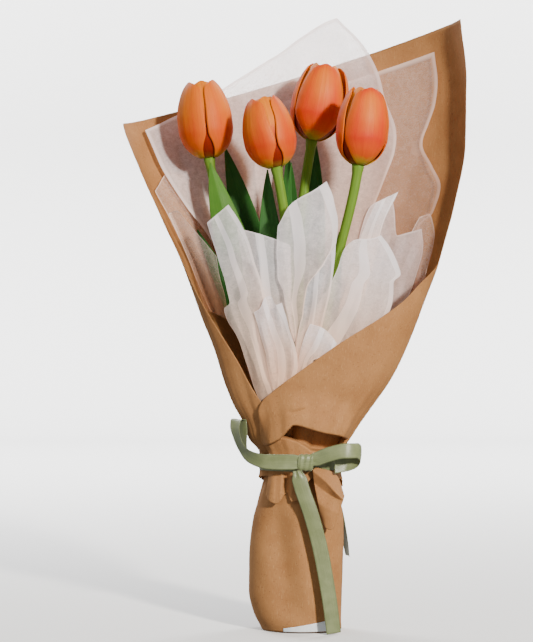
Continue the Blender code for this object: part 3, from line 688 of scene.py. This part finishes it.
COLLAR_SHEETS = [
    ("tissue_collar_back", -1, COLLAR, 10.7,
        [(-14, FOOT), (-20, 50), (-34, 110), (-46, 184)],
        [(6, FOOT), (2, 60), (-2, 110), (-4, 171)],
        [(-39, 182.5), (-15.5, 175.5)],
        [((-20, 60, -30, 180), 1.2, 9)]),
    ("tissue_collar_left", -1, COLLAR, 5.8,
        [(-15, FOOT), (-20, 37), (-27.5, 46.5), (-35.5, 67), (-46.5, 100), (-56.6, 120.5),
         (-51.6, 125.6), (-55, 141), (-61.4, 160), (-69.6, 188.6)],
        [(-3, FOOT), (-4, 50), (-14, 90), (-23, 129), (-29, 148), (-36.2, 171), (-40, 182.4),
         (-52.8, 202.6)],
        [(-61, 196)],
        [((-26, 60, -52, 123), 2.2, 8), ((-51, 126, -37, 156), -2.4, 9), ((-20, 62, -31, 112), -2.0, 6),
         ((-60, 186, -48, 130), 0.8, 10)]),
    ("tissue_collar_centre", -1, COLLAR, 7.6,
        [(-12, FOOT), (-8, 60), (0.4, 86.5), (-6, 112), (-10, 135), (-14.4, 147), (-14.8, 176),
         (-14, 186)],
        [(10, FOOT), (8, 60), (2, 88), (6, 118), (9, 137), (24, 158), (31.5, 171), (33.4, 187),
         (31, 204), (24.3, 220.4)],
        [(-5.6, 200), (1.6, 206.5), (12, 212.5)],
        [((2, 92, 16, 190), 1.2, 12), ((8, 136, 31, 172), 2.4, 8), ((-10, 140, -2, 90), 2.0, 6)]),
    ("tissue_collar_strip", -1, COLLAR, 6.2,
        [(-1, 66), (0, 88), (6.0, 121.8), (8.4, 137.1)],
        [(8, 80), (15, 96), (21.3, 108.3), (29.2, 146.4), (31.6, 170.8)],
        [(20, 155)],
        [((8, 84, 20, 150), 1.6, 6)]),
    ("tissue_collar_right", -1, COLLAR, 9.3,
        [(0, FOOT), (-2, 60), (1, 94), (18, 124), (32, 150), (36.5, 163.8), (41, 170.6), (46, 174.6)],
        [(16, FOOT), (36, 60), (56, 88), (76.8, 126.7), (77.6, 141.6), (83.5, 148.2), (80, 158),
         (73.9, 170.8), (67.5, 178.7)],
        [(50.6, 175.7), (59, 176)],
        [((38, 92, 68, 158), 2.4, 9), ((52, 92, 78, 142), -2.2, 8), ((24, 90, 46, 168), -1.6, 10)]),
    ("tissue_collar_tongue", -1, COLLAR, 12.6,
        [(34, 120), (44, 150), (51, 176), (62.8, 203.8)],
        [(50, 120), (60, 150), (67.6, 182.8), (80.5, 213.2)],
        [(71, 208)],
        [((44, 130, 70, 206), 1.4, 8)]),
    ("tissue_cuff_left", -1, COLLAR, 3.9,
        [(-17, 56), (-22.6, 80), (-29.8, 108), (-33, 118)],
        [(-8, 54), (2.3, 76.6), (-5.6, 107), (-10.6, 125.6)],
        [(-28, 121), (-24.5, 129.5), (-20.5, 131), (-15, 124)],
        [((-28, 112, -16, 60), 1.8, 5), ((-20, 128, -20, 112), -1.6, 6)]),
    ("tissue_cuff_right", -1, COLLAR, 4.4,
        [(0, 62), (1.6, 75.3), (6, 96), (11.5, 109)],
        [(12, 70), (14, 80.2), (26, 84), (32.3, 93.6)],
        [(21.3, 105.9), (27, 101)],
        [((10, 76, 22, 104), 1.6, 6)]),
    ("tissue_low_left", -1, TISSUE_THIN, 8.0,
        [(-68, 119), (-79, 145), (-90, 172), (-101, 197)],
        [(-53, 112), (-55, 126), (-60, 146), (-62, 162)],
        [(-95, 199), (-87, 191), (-75, 177)],
        [((-66, 122, -97, 194), 1.6, 10), ((-58, 118, -80, 178), -1.2, 8)]),
    ("tissue_low_right", 1, TISSUE_THIN, 5.4,
        [(40, 40), (60, 90), (84, 160), (102, 196)],
        [(52, 40), (88, 100), (104, 140), (106, 152)],
        [(109, 198.5), (113, 184)],
        [((72, 100, 108, 190), 1.6, 9)]),
]


def sheet_points(left, right, top, inset, side):
    """A grid over a sheet's outline, laid inside the cone's back (side 1) or front (side -1)."""
    u, v = columns(90), rows(170)
    on_left, on_right = Outline(left)(v), Outline(right)(v)
    on_top = Outline([left[-1], *top, right[-1]])(u)
    u, v = u[..., None], v[..., None]
    low, high = (np.array([left[k], right[k]], float) for k in (0, -1))
    foot = mix(low[0], low[1], u)
    straight = mix(foot, mix(high[0], high[1], u), v)
    x, height = split(mix(on_left, on_right, u) + mix(foot, on_top, v) - straight)
    low_x, high_x, back, front = split(wrap_section(height))
    if side > 0:
        inset = inset + 1.8 * (1 - smooth_step((height - 14) / 25))
    across = (x - (low_x + high_x) / 2) / ((high_x - low_x) / 2 - inset)
    reach = (back if side > 0 else front) - inset
    y = side * reach * np.sqrt(1 - np.clip(across, -0.985, 0.985) ** 2)
    return xyz(x, y, height)


def make_tissue(sheet, seed):
    """One sheet of tissue with its creases, its crinkles and soft folds that spread from the tie."""
    name, side, finish, inset, left, right, top, creases = sheet
    smooth = sheet_points(left, right, top, inset, side)
    at = smooth.copy()
    x, height = at[..., 0], at[..., 2]
    spread = x / (height + 90) * 60
    rise = smooth_step((height - 15) / 90)
    fold = 0.9 * zigzag(spread / 7.3 + seed * 0.37) + 0.5 * np.sin(spread * 1.9 + seed)
    folded = 1.5 if side < 0 else 1.0
    lift = rise * fold * 0.6 * folded
    for line, tall, wide in creases:
        lift = lift + folded * tall * crease(x, height, line, wide * 0.8)
    lift = lift + rise * (0.30 * crumple(at, 22, seed) + 0.45 * soft_noise(at, 45, seed + 50))
    at[..., 1] -= lift * 0.62
    at[..., 0] += rise * 0.5 * soft_noise(at, 26, seed + 90)
    obj = grid_object(name + "_sheet", at, [finish])
    put(obj, "wrap", "tissue", *([name] if name in frame["nodes"] else []))


def make_label():
    """A blank sticker near the sleeve's foot, its top edge a little askew."""
    u, v = columns(60), rows(14)
    x = mix(-9.6, 25.6, u)
    height = mix(-134.0, mix(-131.5, -125.6, u), v)
    left, right, depth = split(sleeve_section(height))
    across = (x - (left + right) / 2) / ((right - left) / 2 + 0.8)
    at = xyz(x, -(depth + 0.95) * np.sqrt(1 - across**2), height)
    obj = grid_object("blank_label", at, [LABEL], thickness=0.18)
    put(obj, "wrap", "label", "label")


# ---------------------------------------------------------------- ribbon

RIBBON_WIDTH = 12.0
# Each length of ribbon: its body, how much of its length is gathered at the knot, and its points,
# each with the way across the ribbon there
RIBBONS = {
    "ribbon_loop_right": ("wrap", 0.2, [
        (5, -31.6, 1, 0, 0, 1), (16, -32.6, 3, 0, 0, 1), (27, -35.5, 7, 0, 0.1, 1),
        (39, -36.5, 9.5, 0.05, 0.15, 1), (48, -32.5, 9.5, 0.1, 0.2, 1), (51.5, -27, 6, 0.1, 0.3, 1),
        (48.5, -23.5, 1.5, 0, 0.3, 1), (41, -23.5, -1.5, 0, 0.2, 1), (31, -26.5, -3, 0, 0.1, 1)
    ]),
    "ribbon_loop_left": ("wrap", 0.12, [
        (11, -31.6, 0, 0, 0, 1), (0, -32.3, 0.5, 0, 0, 1), (-12, -32.6, 0.5, 0, 0, 1),
        (-24, -31.5, 1, 0.1, 0, 1), (-34, -27.5, 3.5, 0.4, -0.3, 0.85),
        (-41, -21.5, 9, 0.5, -0.55, 0.6), (-46, -16, 18, 0.5, -0.8, 0.2), (-48, -12, 27, 0.5, -0.85, 0),
        (-46.5, -9, 33, 0.6, -0.8, 0), (-43.5, -7, 33, 0.72, -0.7, 0),
        (-42.5, -6.5, 24, 0.74, -0.67, 0), (-42, -6.5, 13, 0.6, -0.8, 0), (-40.5, -7, 6, 0.47, -0.88, 0)
    ]),
    "ribbon_tail_front": ("ribbon_tail_front", 0.06, [
        (1.2, -33.2, -6.2, 1, 0, 0.15), (5, -34.5, -20, 1, 0, 0.25), (12, -34.8, -40, 1, 0, 0.3),
        (19, -34.2, -66, 1, 0.1, 0.22), (24, -33.6, -92, 1, 0.25, 0.14),
        (27.5, -33, -114, 1, 0.3, 0.12), (30, -32.6, -134, 1, 0.3, 0.12)
    ]),
    "ribbon_tail_back": ("ribbon_tail_back", 0, [
        (28, 22.2, -6.5, -0.83, 0.55, 0), (29, 22.8, -20, -0.83, 0.55, 0), (32, 21, -34, -0.8, 0.6, 0),
        (36.5, 16.5, -50, -0.65, 0.75, 0), (40.5, 12, -66, -0.4, 0.9, 0), (42.5, 9.5, -78, -0.2, 1, 0)
    ]),
}


def make_ribbon(name, body, gathered, points):
    """A length of satin ribbon, slightly cupped across its width."""
    v, u = rows(120), columns(13, -0.5, 0.5)
    path = Outline([point[:3] for point in points])(v)
    last = len(points) - 1
    way = unit(Profile([(k / last, *point[3:]) for k, point in enumerate(points)])(v))
    out = unit(np.cross(np.gradient(path, axis=0), way))
    cup = 0.45 * (1 - (2 * u) ** 2) + 0.12 * np.sin(9 * v + 3 * u)
    # Where it goes into the knot the ribbon is drawn together in pleats
    knot = 1 - smooth_step(v / gathered) if gathered else 0 * v
    pleats = 0.9 * knot * zigzag(u * 2.1 + 0.1)
    at = path + way * (u * RIBBON_WIDTH * (1 - 0.42 * knot))[..., None]
    at = at + out * (cup + pleats)[..., None]
    obj = grid_object(name + "_satin", at, [RIBBON], thickness=RIBBON_THICKNESS)
    put(obj, body, "ribbon", name)


def make_band():
    """The ribbon's turn round the neck, pressed into the paper's pleats."""
    turn, v = turns(200), rows(12)
    ripple = 0.25 * np.sin(9 * turn) + 0.3 * (1 - (2 * v - 1) ** 2)
    at = xyz(4.4 + (33.2 + ripple) * np.sin(turn), (26.1 + ripple) * np.cos(turn),
             mix(-7, 5, v) + 0.5 * np.sin(turn + 1))
    obj = grid_object("ribbon_band_satin", at, [RIBBON], closed=True, thickness=RIBBON_THICKNESS)
    put(obj, "wrap", "ribbon", "ribbon_band")


def make_knot():
    """The bow's knot: ribbon drawn tightly over the crossing, puckered along its turns."""
    turn, v = turns(72), rows(40)
    swell = np.clip(1 - np.abs(2 * v - 1) ** 4.5, 0.02, 1) ** 0.5
    pucker = 0.28 * zigzag(v * 4.3 + 0.08 * np.sin(2 * turn)) * swell
    y = (3.1 * swell + pucker) * np.sign(np.cos(turn)) * np.abs(np.cos(turn)) ** 0.8
    z = (6.5 * swell**0.6 + pucker) * np.sign(np.sin(turn)) * np.abs(np.sin(turn)) ** 0.8
    x = 6.3 * np.sin((v - 0.5) * pi) + 0.5 * np.sin(turn)
    at = xyz(8 + x, -30.6 + y, z)
    obj = grid_object("ribbon_knot_satin", at, [RIBBON], closed=True)
    put(obj, "wrap", "ribbon", "ribbon_knot")


TIE_TURNS = 5


def make_tie():
    """The tie that holds the stems: turns of a rubber band wound side by side."""
    low, high = (np.array(corner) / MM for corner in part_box("stem_tie"))
    radius = 0.95
    middle, reach = (low + high) / 2, (high - low) / 2 - radius
    share = rows(420)
    angle = 2 * pi * TIE_TURNS * share
    path = xyz(middle[0] + reach[0] * np.sin(angle), middle[1] + reach[1] * np.cos(angle),
               mix(low[2] + radius, high[2] - radius, share))
    along = unit(np.gradient(path, axis=0))
    out = unit(np.cross(along, (0, 0, 1)))
    section = turns(12)[..., None]
    size = (radius * smooth_step(np.minimum(share, 1 - share) * 150 + 0.02))[..., None]
    at = path + size * (out * np.cos(section) + np.cross(out, along) * np.sin(section))
    obj = grid_object("stem_tie_band", at, [TIE], closed=True)
    put(obj, "wrap", "tie", "stem_tie")


# ---------------------------------------------------------------- tulips

# Flower: height up the cup and radius of the cup, then the share of the flower's height and
# half the width of one tepal in degrees
CUP_PROFILE = [
    (-1, 4.0), (0, 5.4), (2.5, 9.8), (7, 14.8), (14, 18.8), (23, 20.8), (32, 20.7), (41, 19.4),
    (49, 17.0), (56, 13.8), (61.5, 9.6),
]
TEPAL_HALF_WIDTH = [
    (0.0, 25), (0.05, 37), (0.10, 42), (0.18, 48.5), (0.31, 57.6), (0.70, 59.4), (0.86, 58.4),
    (0.94, 55), (0.98, 47), (1.0, 30),
]
CUP_HEIGHT = 61.5
# How far the outer and inner tepals lie outside the cup's radius
OUTER_LAYER = 1.0
INNER_LAYER = -1.1
cup_radius = Profile(CUP_PROFILE)
tepal_half_width = Profile(TEPAL_HALF_WIDTH)
# Leaves: tulip number, name, height where it leaves the stem, side of the stem (below 0 front,
# above 0 back, larger further off), tip, width, sideways bow and whether it takes the leaf colour
# painted as lit rather than the one darkened as painted shade
LEAVES = [
    (1, "front", 118, -1, (-68, 3, 238), 28, -4, True),
    (1, "back", 100, 1, (-57, 38, 254), 30, 10, False),
    (1, "low", 52, -1, (-78, -3, 184), 20, -6, False),
    (2, "left", 84, 1, (-22, -5, 232), 24, -12, False),
    (2, "right", 112, 1.7, (-3, 0, 238), 15, 3, False),
    (3, "left", 110, 2.0, (-5, 34, 250), 17, -7, False),
    (3, "right", 92, 1, (18, 34, 255), 22, 11, False),
    (4, "back", 70, 1, (35, -9, 182), 15, 4, False),
]
# Each flower's width and height against the full size, how far its outer tepals part at the
# top in degrees, and how golden they are
FLOWERS = {
    1: {"wide": 1.0, "tall": 1.0, "parting": 3, "gold": 0.8},
    2: {"wide": 0.93, "tall": 0.91, "parting": 10, "gold": 0.35},
    3: {"wide": 1.0, "tall": 1.0, "parting": 6, "gold": 0.1},
    4: {"wide": 0.93, "tall": 0.98, "parting": 5, "gold": 0.0},
}
# Tepals that stand a little away from their flower, in millimetres at the top
FLARES = {"tulip_3_tepal_outer_b": 2.6, "tulip_2_tepal_outer_b": 0.8, "tulip_4_tepal_outer_c": 0.8}
# The outer tepal that is golden all over, whatever its flower's colour
GOLDEN = "tulip_3_tepal_outer_b"
TEPAL_RELIEF = 0.62
STEM_RADIUS = 3.9
# How far a stem goes up into the cup
STEM_REACH = 2.6
STAMEN_RING = 4.6


def flower_frame(number):
    """The flower's centre and upward axis, from the hinges of its outer tepals, and the outward
    way of every tepal."""
    hinges = {j["child"]: np.array(j["pos_m"]) / MM for j in frame["joints"]
              if j["type"] == "hinge" and j["child"].startswith(f"tulip_{number}_tepal")}
    ring = [hinges[f"tulip_{number}_tepal_outer_{k}"] for k in "abc"]
    centre = sum(ring) / 3
    up = unit(np.cross(ring[1] - ring[0], ring[2] - ring[0]))
    ways = {node: unit(at - centre - up * ((at - centre) @ up)) for node, at in hinges.items()}
    return centre, up * np.sign(up[2]), ways


def make_tepal(number, node, centre, up, way, seed):
    """One petal of the closed cup, ridged along its middle and wavy at its edges."""
    form = FLOWERS[number]
    outer = "outer" in node
    gold = 1.0 if node == GOLDEN else form["gold"]
    look = tepal_look(node + "_skin", gold) if outer else PETAL_INNER
    rng = np.random.default_rng(seed)
    u, v = columns(37, -1, 1), rows(61) ** 0.9
    dip = (2.4 * u**2 + 0.6 * u * rng.uniform(-1, 1)) * smooth_step((v - 0.75) / 0.25)
    height = v * CUP_HEIGHT - dip
    parting = form["parting"] * smooth_step((v - 0.35) / 0.4) if outer else 0
    angle = u * np.radians(tepal_half_width(v) - parting)
    middle = -0.40 * np.exp(-((u / 0.06) ** 2)) * smooth_step(v / 0.2)
    ridges = 0.20 * np.cos(u * pi * 3.0) * smooth_step(v / 0.25) * smooth_step((1.05 - v) / 0.3)
    slow = 0.24 * np.sin(7 * v + 4 * u + rng.uniform(0, 6))
    quick = 0.18 * np.sin(13 * v * u + rng.uniform(0, 6))
    curl = -0.45 * np.abs(u) ** 7 * smooth_step(v / 0.3)
    flare = FLARES.get(node, 0) * smooth_step((v - 0.3) / 0.6)
    relief = TEPAL_RELIEF * (middle + ridges + (slow + quick) * np.abs(u) + curl) + flare
    radius = cup_radius(height) * form["wide"] + (OUTER_LAYER if outer else INNER_LAYER) + relief
    local = xyz(radius * np.cos(angle), radius * np.sin(angle), height * form["tall"])
    at = centre + local @ np.array([way, np.cross(up, way), up])
    obj = grid_object(node + "_petal", at, [look, PETAL_INSIDE], thickness=0.7)
    put(obj, node, "tepal", node)


def stem_centres(node):
    """Height and centre of each ring of a CAD stem, from its foot to its top."""
    at = np.array([v.co[:] for v in frame["nodes"][node].data.vertices]) / MM
    rings = {}
    for point in at:
        rings.setdefault(round(float(point[2]), 1), []).append(point)
    found = []
    for height in sorted(rings):
        if not found or height - found[-1][0] > 0.5:
            found.append((height, *np.mean(rings[height], axis=0)[:2]))
    return found


def make_stem(number, line):
    """A round stem, swelling a little where the flower sits on it."""
    low, high = line.at[0], line.at[-1] + STEM_REACH
    turn = turns(32)
    height = mix(low, high, rows(90))
    x, y = split(line(height))
    swell = 0.9 * smooth_step((height - high + 9) / 7)
    ribs = 0.09 * np.sin(7 * turn + 0.02 * height) + 0.10 * np.sin(height / 23 + number)
    radius = STEM_RADIUS + swell + ribs
    at = xyz(x + radius * np.cos(turn), y + radius * np.sin(turn), height)
    foot, top = np.mean(at[0], axis=0), np.mean(at[-1], axis=0)
    at = np.concatenate([[mix(foot, at[0], 0.02)], [mix(foot, at[0], 0.6)], at,
                         [mix(top, at[-1], 0.6)], [mix(top, at[-1], 0.02)]])
    obj = grid_object(f"tulip_{number}_stalk", at, [STEM], closed=True)
    put(obj, f"tulip_{number}", "stem", f"tulip_{number}_stem")


def make_leaf(leaf, line, seed):
    """A leaf that rises beside its stem, keeled along its middle, with gently waving edges."""
    number, which, leave, side, tip, width, bow, light = leaf
    rng = np.random.default_rng(seed)

    def stem(height):
        return np.array([*line(np.array(height, float)), height])

    start = stem(leave) + (0, side * 5.4, 0)
    above = stem(leave + 45) + (bow * 0.6, side * 6.4, 0)
    end = np.array(tip, float)
    v, u = rows(90), columns(25, -1, 1)
    late = mix(above, end, v) + np.sin(pi * v) * (bow * 0.5, 0, 0)
    spine = mix(mix(start, above, v), late, v)
    sideways = np.cross(unit(np.gradient(spine, axis=0)), (0, 1, 0))
    half = width / 2 * mix(0.36, 1, smooth_step(v / 0.42))
    half = half * np.maximum(1 - np.maximum(0, (v - 0.42) / 0.58) ** 1.9, 0.02) ** 0.85
    keel = -side * 3.0 * np.abs(u) ** 1.2 * (2 * half / width)
    wave = 0.7 * u**2 * np.sin(9 * v + rng.uniform(0, 6)) * np.sign(u) * smooth_step(v / 0.3)
    at = spine[:, None, :] + sideways[:, None, :] * (half * u)[..., None]
    at[..., 1] += keel + wave * 0.8
    # Painted light: the leaf in the light takes the lit copy of the leaf colour, the others the copy
    # darkened as painted shade
    look = LEAF_PAINTED_LIT if light else LEAF_PAINTED_SHADE
    obj = grid_object(f"tulip_{number}_blade_{which}", at, [look], thickness=0.55)
    put(obj, f"tulip_{number}", "leaf", f"tulip_{number}_leaf_{which}")


def turned(outline, lobes, depth):
    """Rings round the Z axis from rows of (height, radius), with lobes that swell each ring."""
    turn = turns(48)
    height, radius = np.array(outline, float).T[..., None]
    radius = radius * (1 + depth * np.cos(lobes * turn))
    return xyz(radius * np.cos(turn), radius * np.sin(turn), height)


def make_pistil(number, centre, up, forward):
    """Inside the flower: a three-sided pistil with its lobed stigma, and six stamens round it."""
    column = [(-0.6, 0.2), (-0.5, 2.4), (1.5, 2.9), (6, 3.0), (12, 2.9), (17, 2.5), (19.5, 2.2),
              (20.6, 3.4), (21.8, 3.6), (22.8, 2.6), (23.2, 0.2)]
    pieces = [("ovary", column, 3, 0.16, (0, 0, 0))]
    filament = [(0.2, 0.1), (0.3, 0.9), (5, 0.8), (9, 0.55), (9.8, 0.9), (11.5, 1.3), (15, 1.35),
                (18, 1.15), (19.6, 0.6), (20.0, 0.1)]
    for k in range(6):
        around = (k + 0.5) * pi / 3
        place = (STAMEN_RING * cos(around), STAMEN_RING * sin(around), 0)
        pieces.append((f"stamen_{k + 1}", filament, 2, 0.18, place))
    for name, outline, lobes, depth, place in pieces:
        local = turned(outline, lobes, depth) + place
        at = centre + local @ np.array([forward, np.cross(up, forward), up])
        look = PISTIL if name == "ovary" else STAMEN
        obj = grid_object(f"tulip_{number}_{name}", at, [look], closed=True)
        nodes = [f"tulip_{number}_pistil"] if name == "ovary" else []
        put(obj, f"tulip_{number}", "pistil", *nodes)


def make_tulip(number):
    line = Profile(stem_centres(f"tulip_{number}_stem"))
    make_stem(number, line)
    for k, leaf in enumerate(LEAVES):
        if leaf[0] == number:
            make_leaf(leaf, line, 300 + k)
    centre, up, ways = flower_frame(number)
    for k, node in enumerate(sorted(ways)):
        make_tepal(number, node, centre, up, ways[node], 100 * number + k)
    make_pistil(number, centre, up, ways[f"tulip_{number}_tepal_outer_a"])


# ---------------------------------------------------------------- studio

# The backdrop's wall and the bend at its foot, in millimetres
BACKDROP_BACK = 3200
BACKDROP_BEND = 700
AIR_LIGHT = 0.42
# Lights: name, place and aim in metres, size, power and colour
LIGHTS = [
    ("key", (1.20, -2.05, 0.98), (0, 0, 0.11), 0.20, 118, (1.0, 0.94, 0.85)),
    ("fill", (-1.8, -1.8, 0.9), (0, 0, 0.11), 1.8, 8, (0.90, 0.95, 1.0)),
    ("rim", (-0.6, 1.1, 1.5), (0, 0, 0.11), 1.0, 9, (1.0, 1.0, 1.0)),
    ("backdrop_left", (-1.5, 1.7, 1.8), (-0.6, 3.15, 0.3), 1.4, 180, (1.0, 1.0, 1.0)),
    ("backdrop_right", (1.5, 1.7, 1.8), (0.6, 3.15, 0.3), 1.4, 180, (1.0, 1.0, 1.0)),
]


def make_studio():
    """A pale floor that sweeps up into a backdrop, a sun-like key light and soft fills."""
    floor = CAD_BOX[0][2] / MM - 0.6
    curve = [(BACKDROP_BACK - BACKDROP_BEND * (1 - sin(a)), floor + BACKDROP_BEND * (1 - cos(a)))
             for a in np.linspace(0, pi / 2, 20)]
    y, z = split(np.array([(-3600, floor), *curve, (BACKDROP_BACK, 3600)])[:, None])
    pale = Look("pale_backdrop", Roughness=0.9, Base_Color=(0.88, 0.88, 0.88, 1))
    stage = grid_object("backdrop", xyz(columns(3, -4200, 4200), y, z), [pale.material])
    # Its brightness stays behind the object, so that the key's shadows keep their depth
    stage.visible_diffuse = False
    stage.visible_glossy = False
    for name, place, target, size, power, colour in LIGHTS:
        lamp = bpy.data.lights.new(name, "AREA")
        lamp.size = size
        lamp.energy = power
        lamp.color = colour
        obj = bpy.data.objects.new(name, lamp)
        obj.location = place
        obj.rotation_euler = (Vector(target) - obj.location).to_track_quat("-Z", "Y").to_euler()
        obj.visible_camera = False
        bpy.context.scene.collection.objects.link(obj)
    world = bpy.data.worlds.new("studio_air")
    world.use_nodes = True
    air = world.node_tree.nodes["Background"].inputs
    air["Color"].default_value = (1.0, 1.0, 1.0, 1)
    air["Strength"].default_value = AIR_LIGHT
    bpy.context.scene.world = world


# Camera: distance in metres, then across and height in millimetres, and the lens
CAMERA_DISTANCE = 1.6
CAMERA_CENTRE = (-22.8, 111.2)
LENS = 112


def make_camera():
    """Level with the middle of the bouquet, straight at the open front, from a little way off."""
    lens = bpy.data.cameras.new("camera")
    lens.lens = LENS
    camera = bpy.data.objects.new("camera", lens)
    camera.location = (CAMERA_CENTRE[0] * MM, -CAMERA_DISTANCE, CAMERA_CENTRE[1] * MM)
    camera.rotation_euler = (radians(90), 0, 0)
    bpy.context.scene.collection.objects.link(camera)
    bpy.context.scene.camera = camera


def main():
    make_camera()
    make_wrap()
    make_sleeve()
    make_skirt_fold()
    for seed, sheet in [*enumerate(BACK_SHEETS, 31), *enumerate(COLLAR_SHEETS, 41)]:
        make_tissue(sheet, seed)
    make_label()
    for name, form in RIBBONS.items():
        make_ribbon(name, *form)
    make_band()
    make_knot()
    for number in (1, 2, 3, 4):
        make_tulip(number)
    make_tie()
    make_studio()


main()
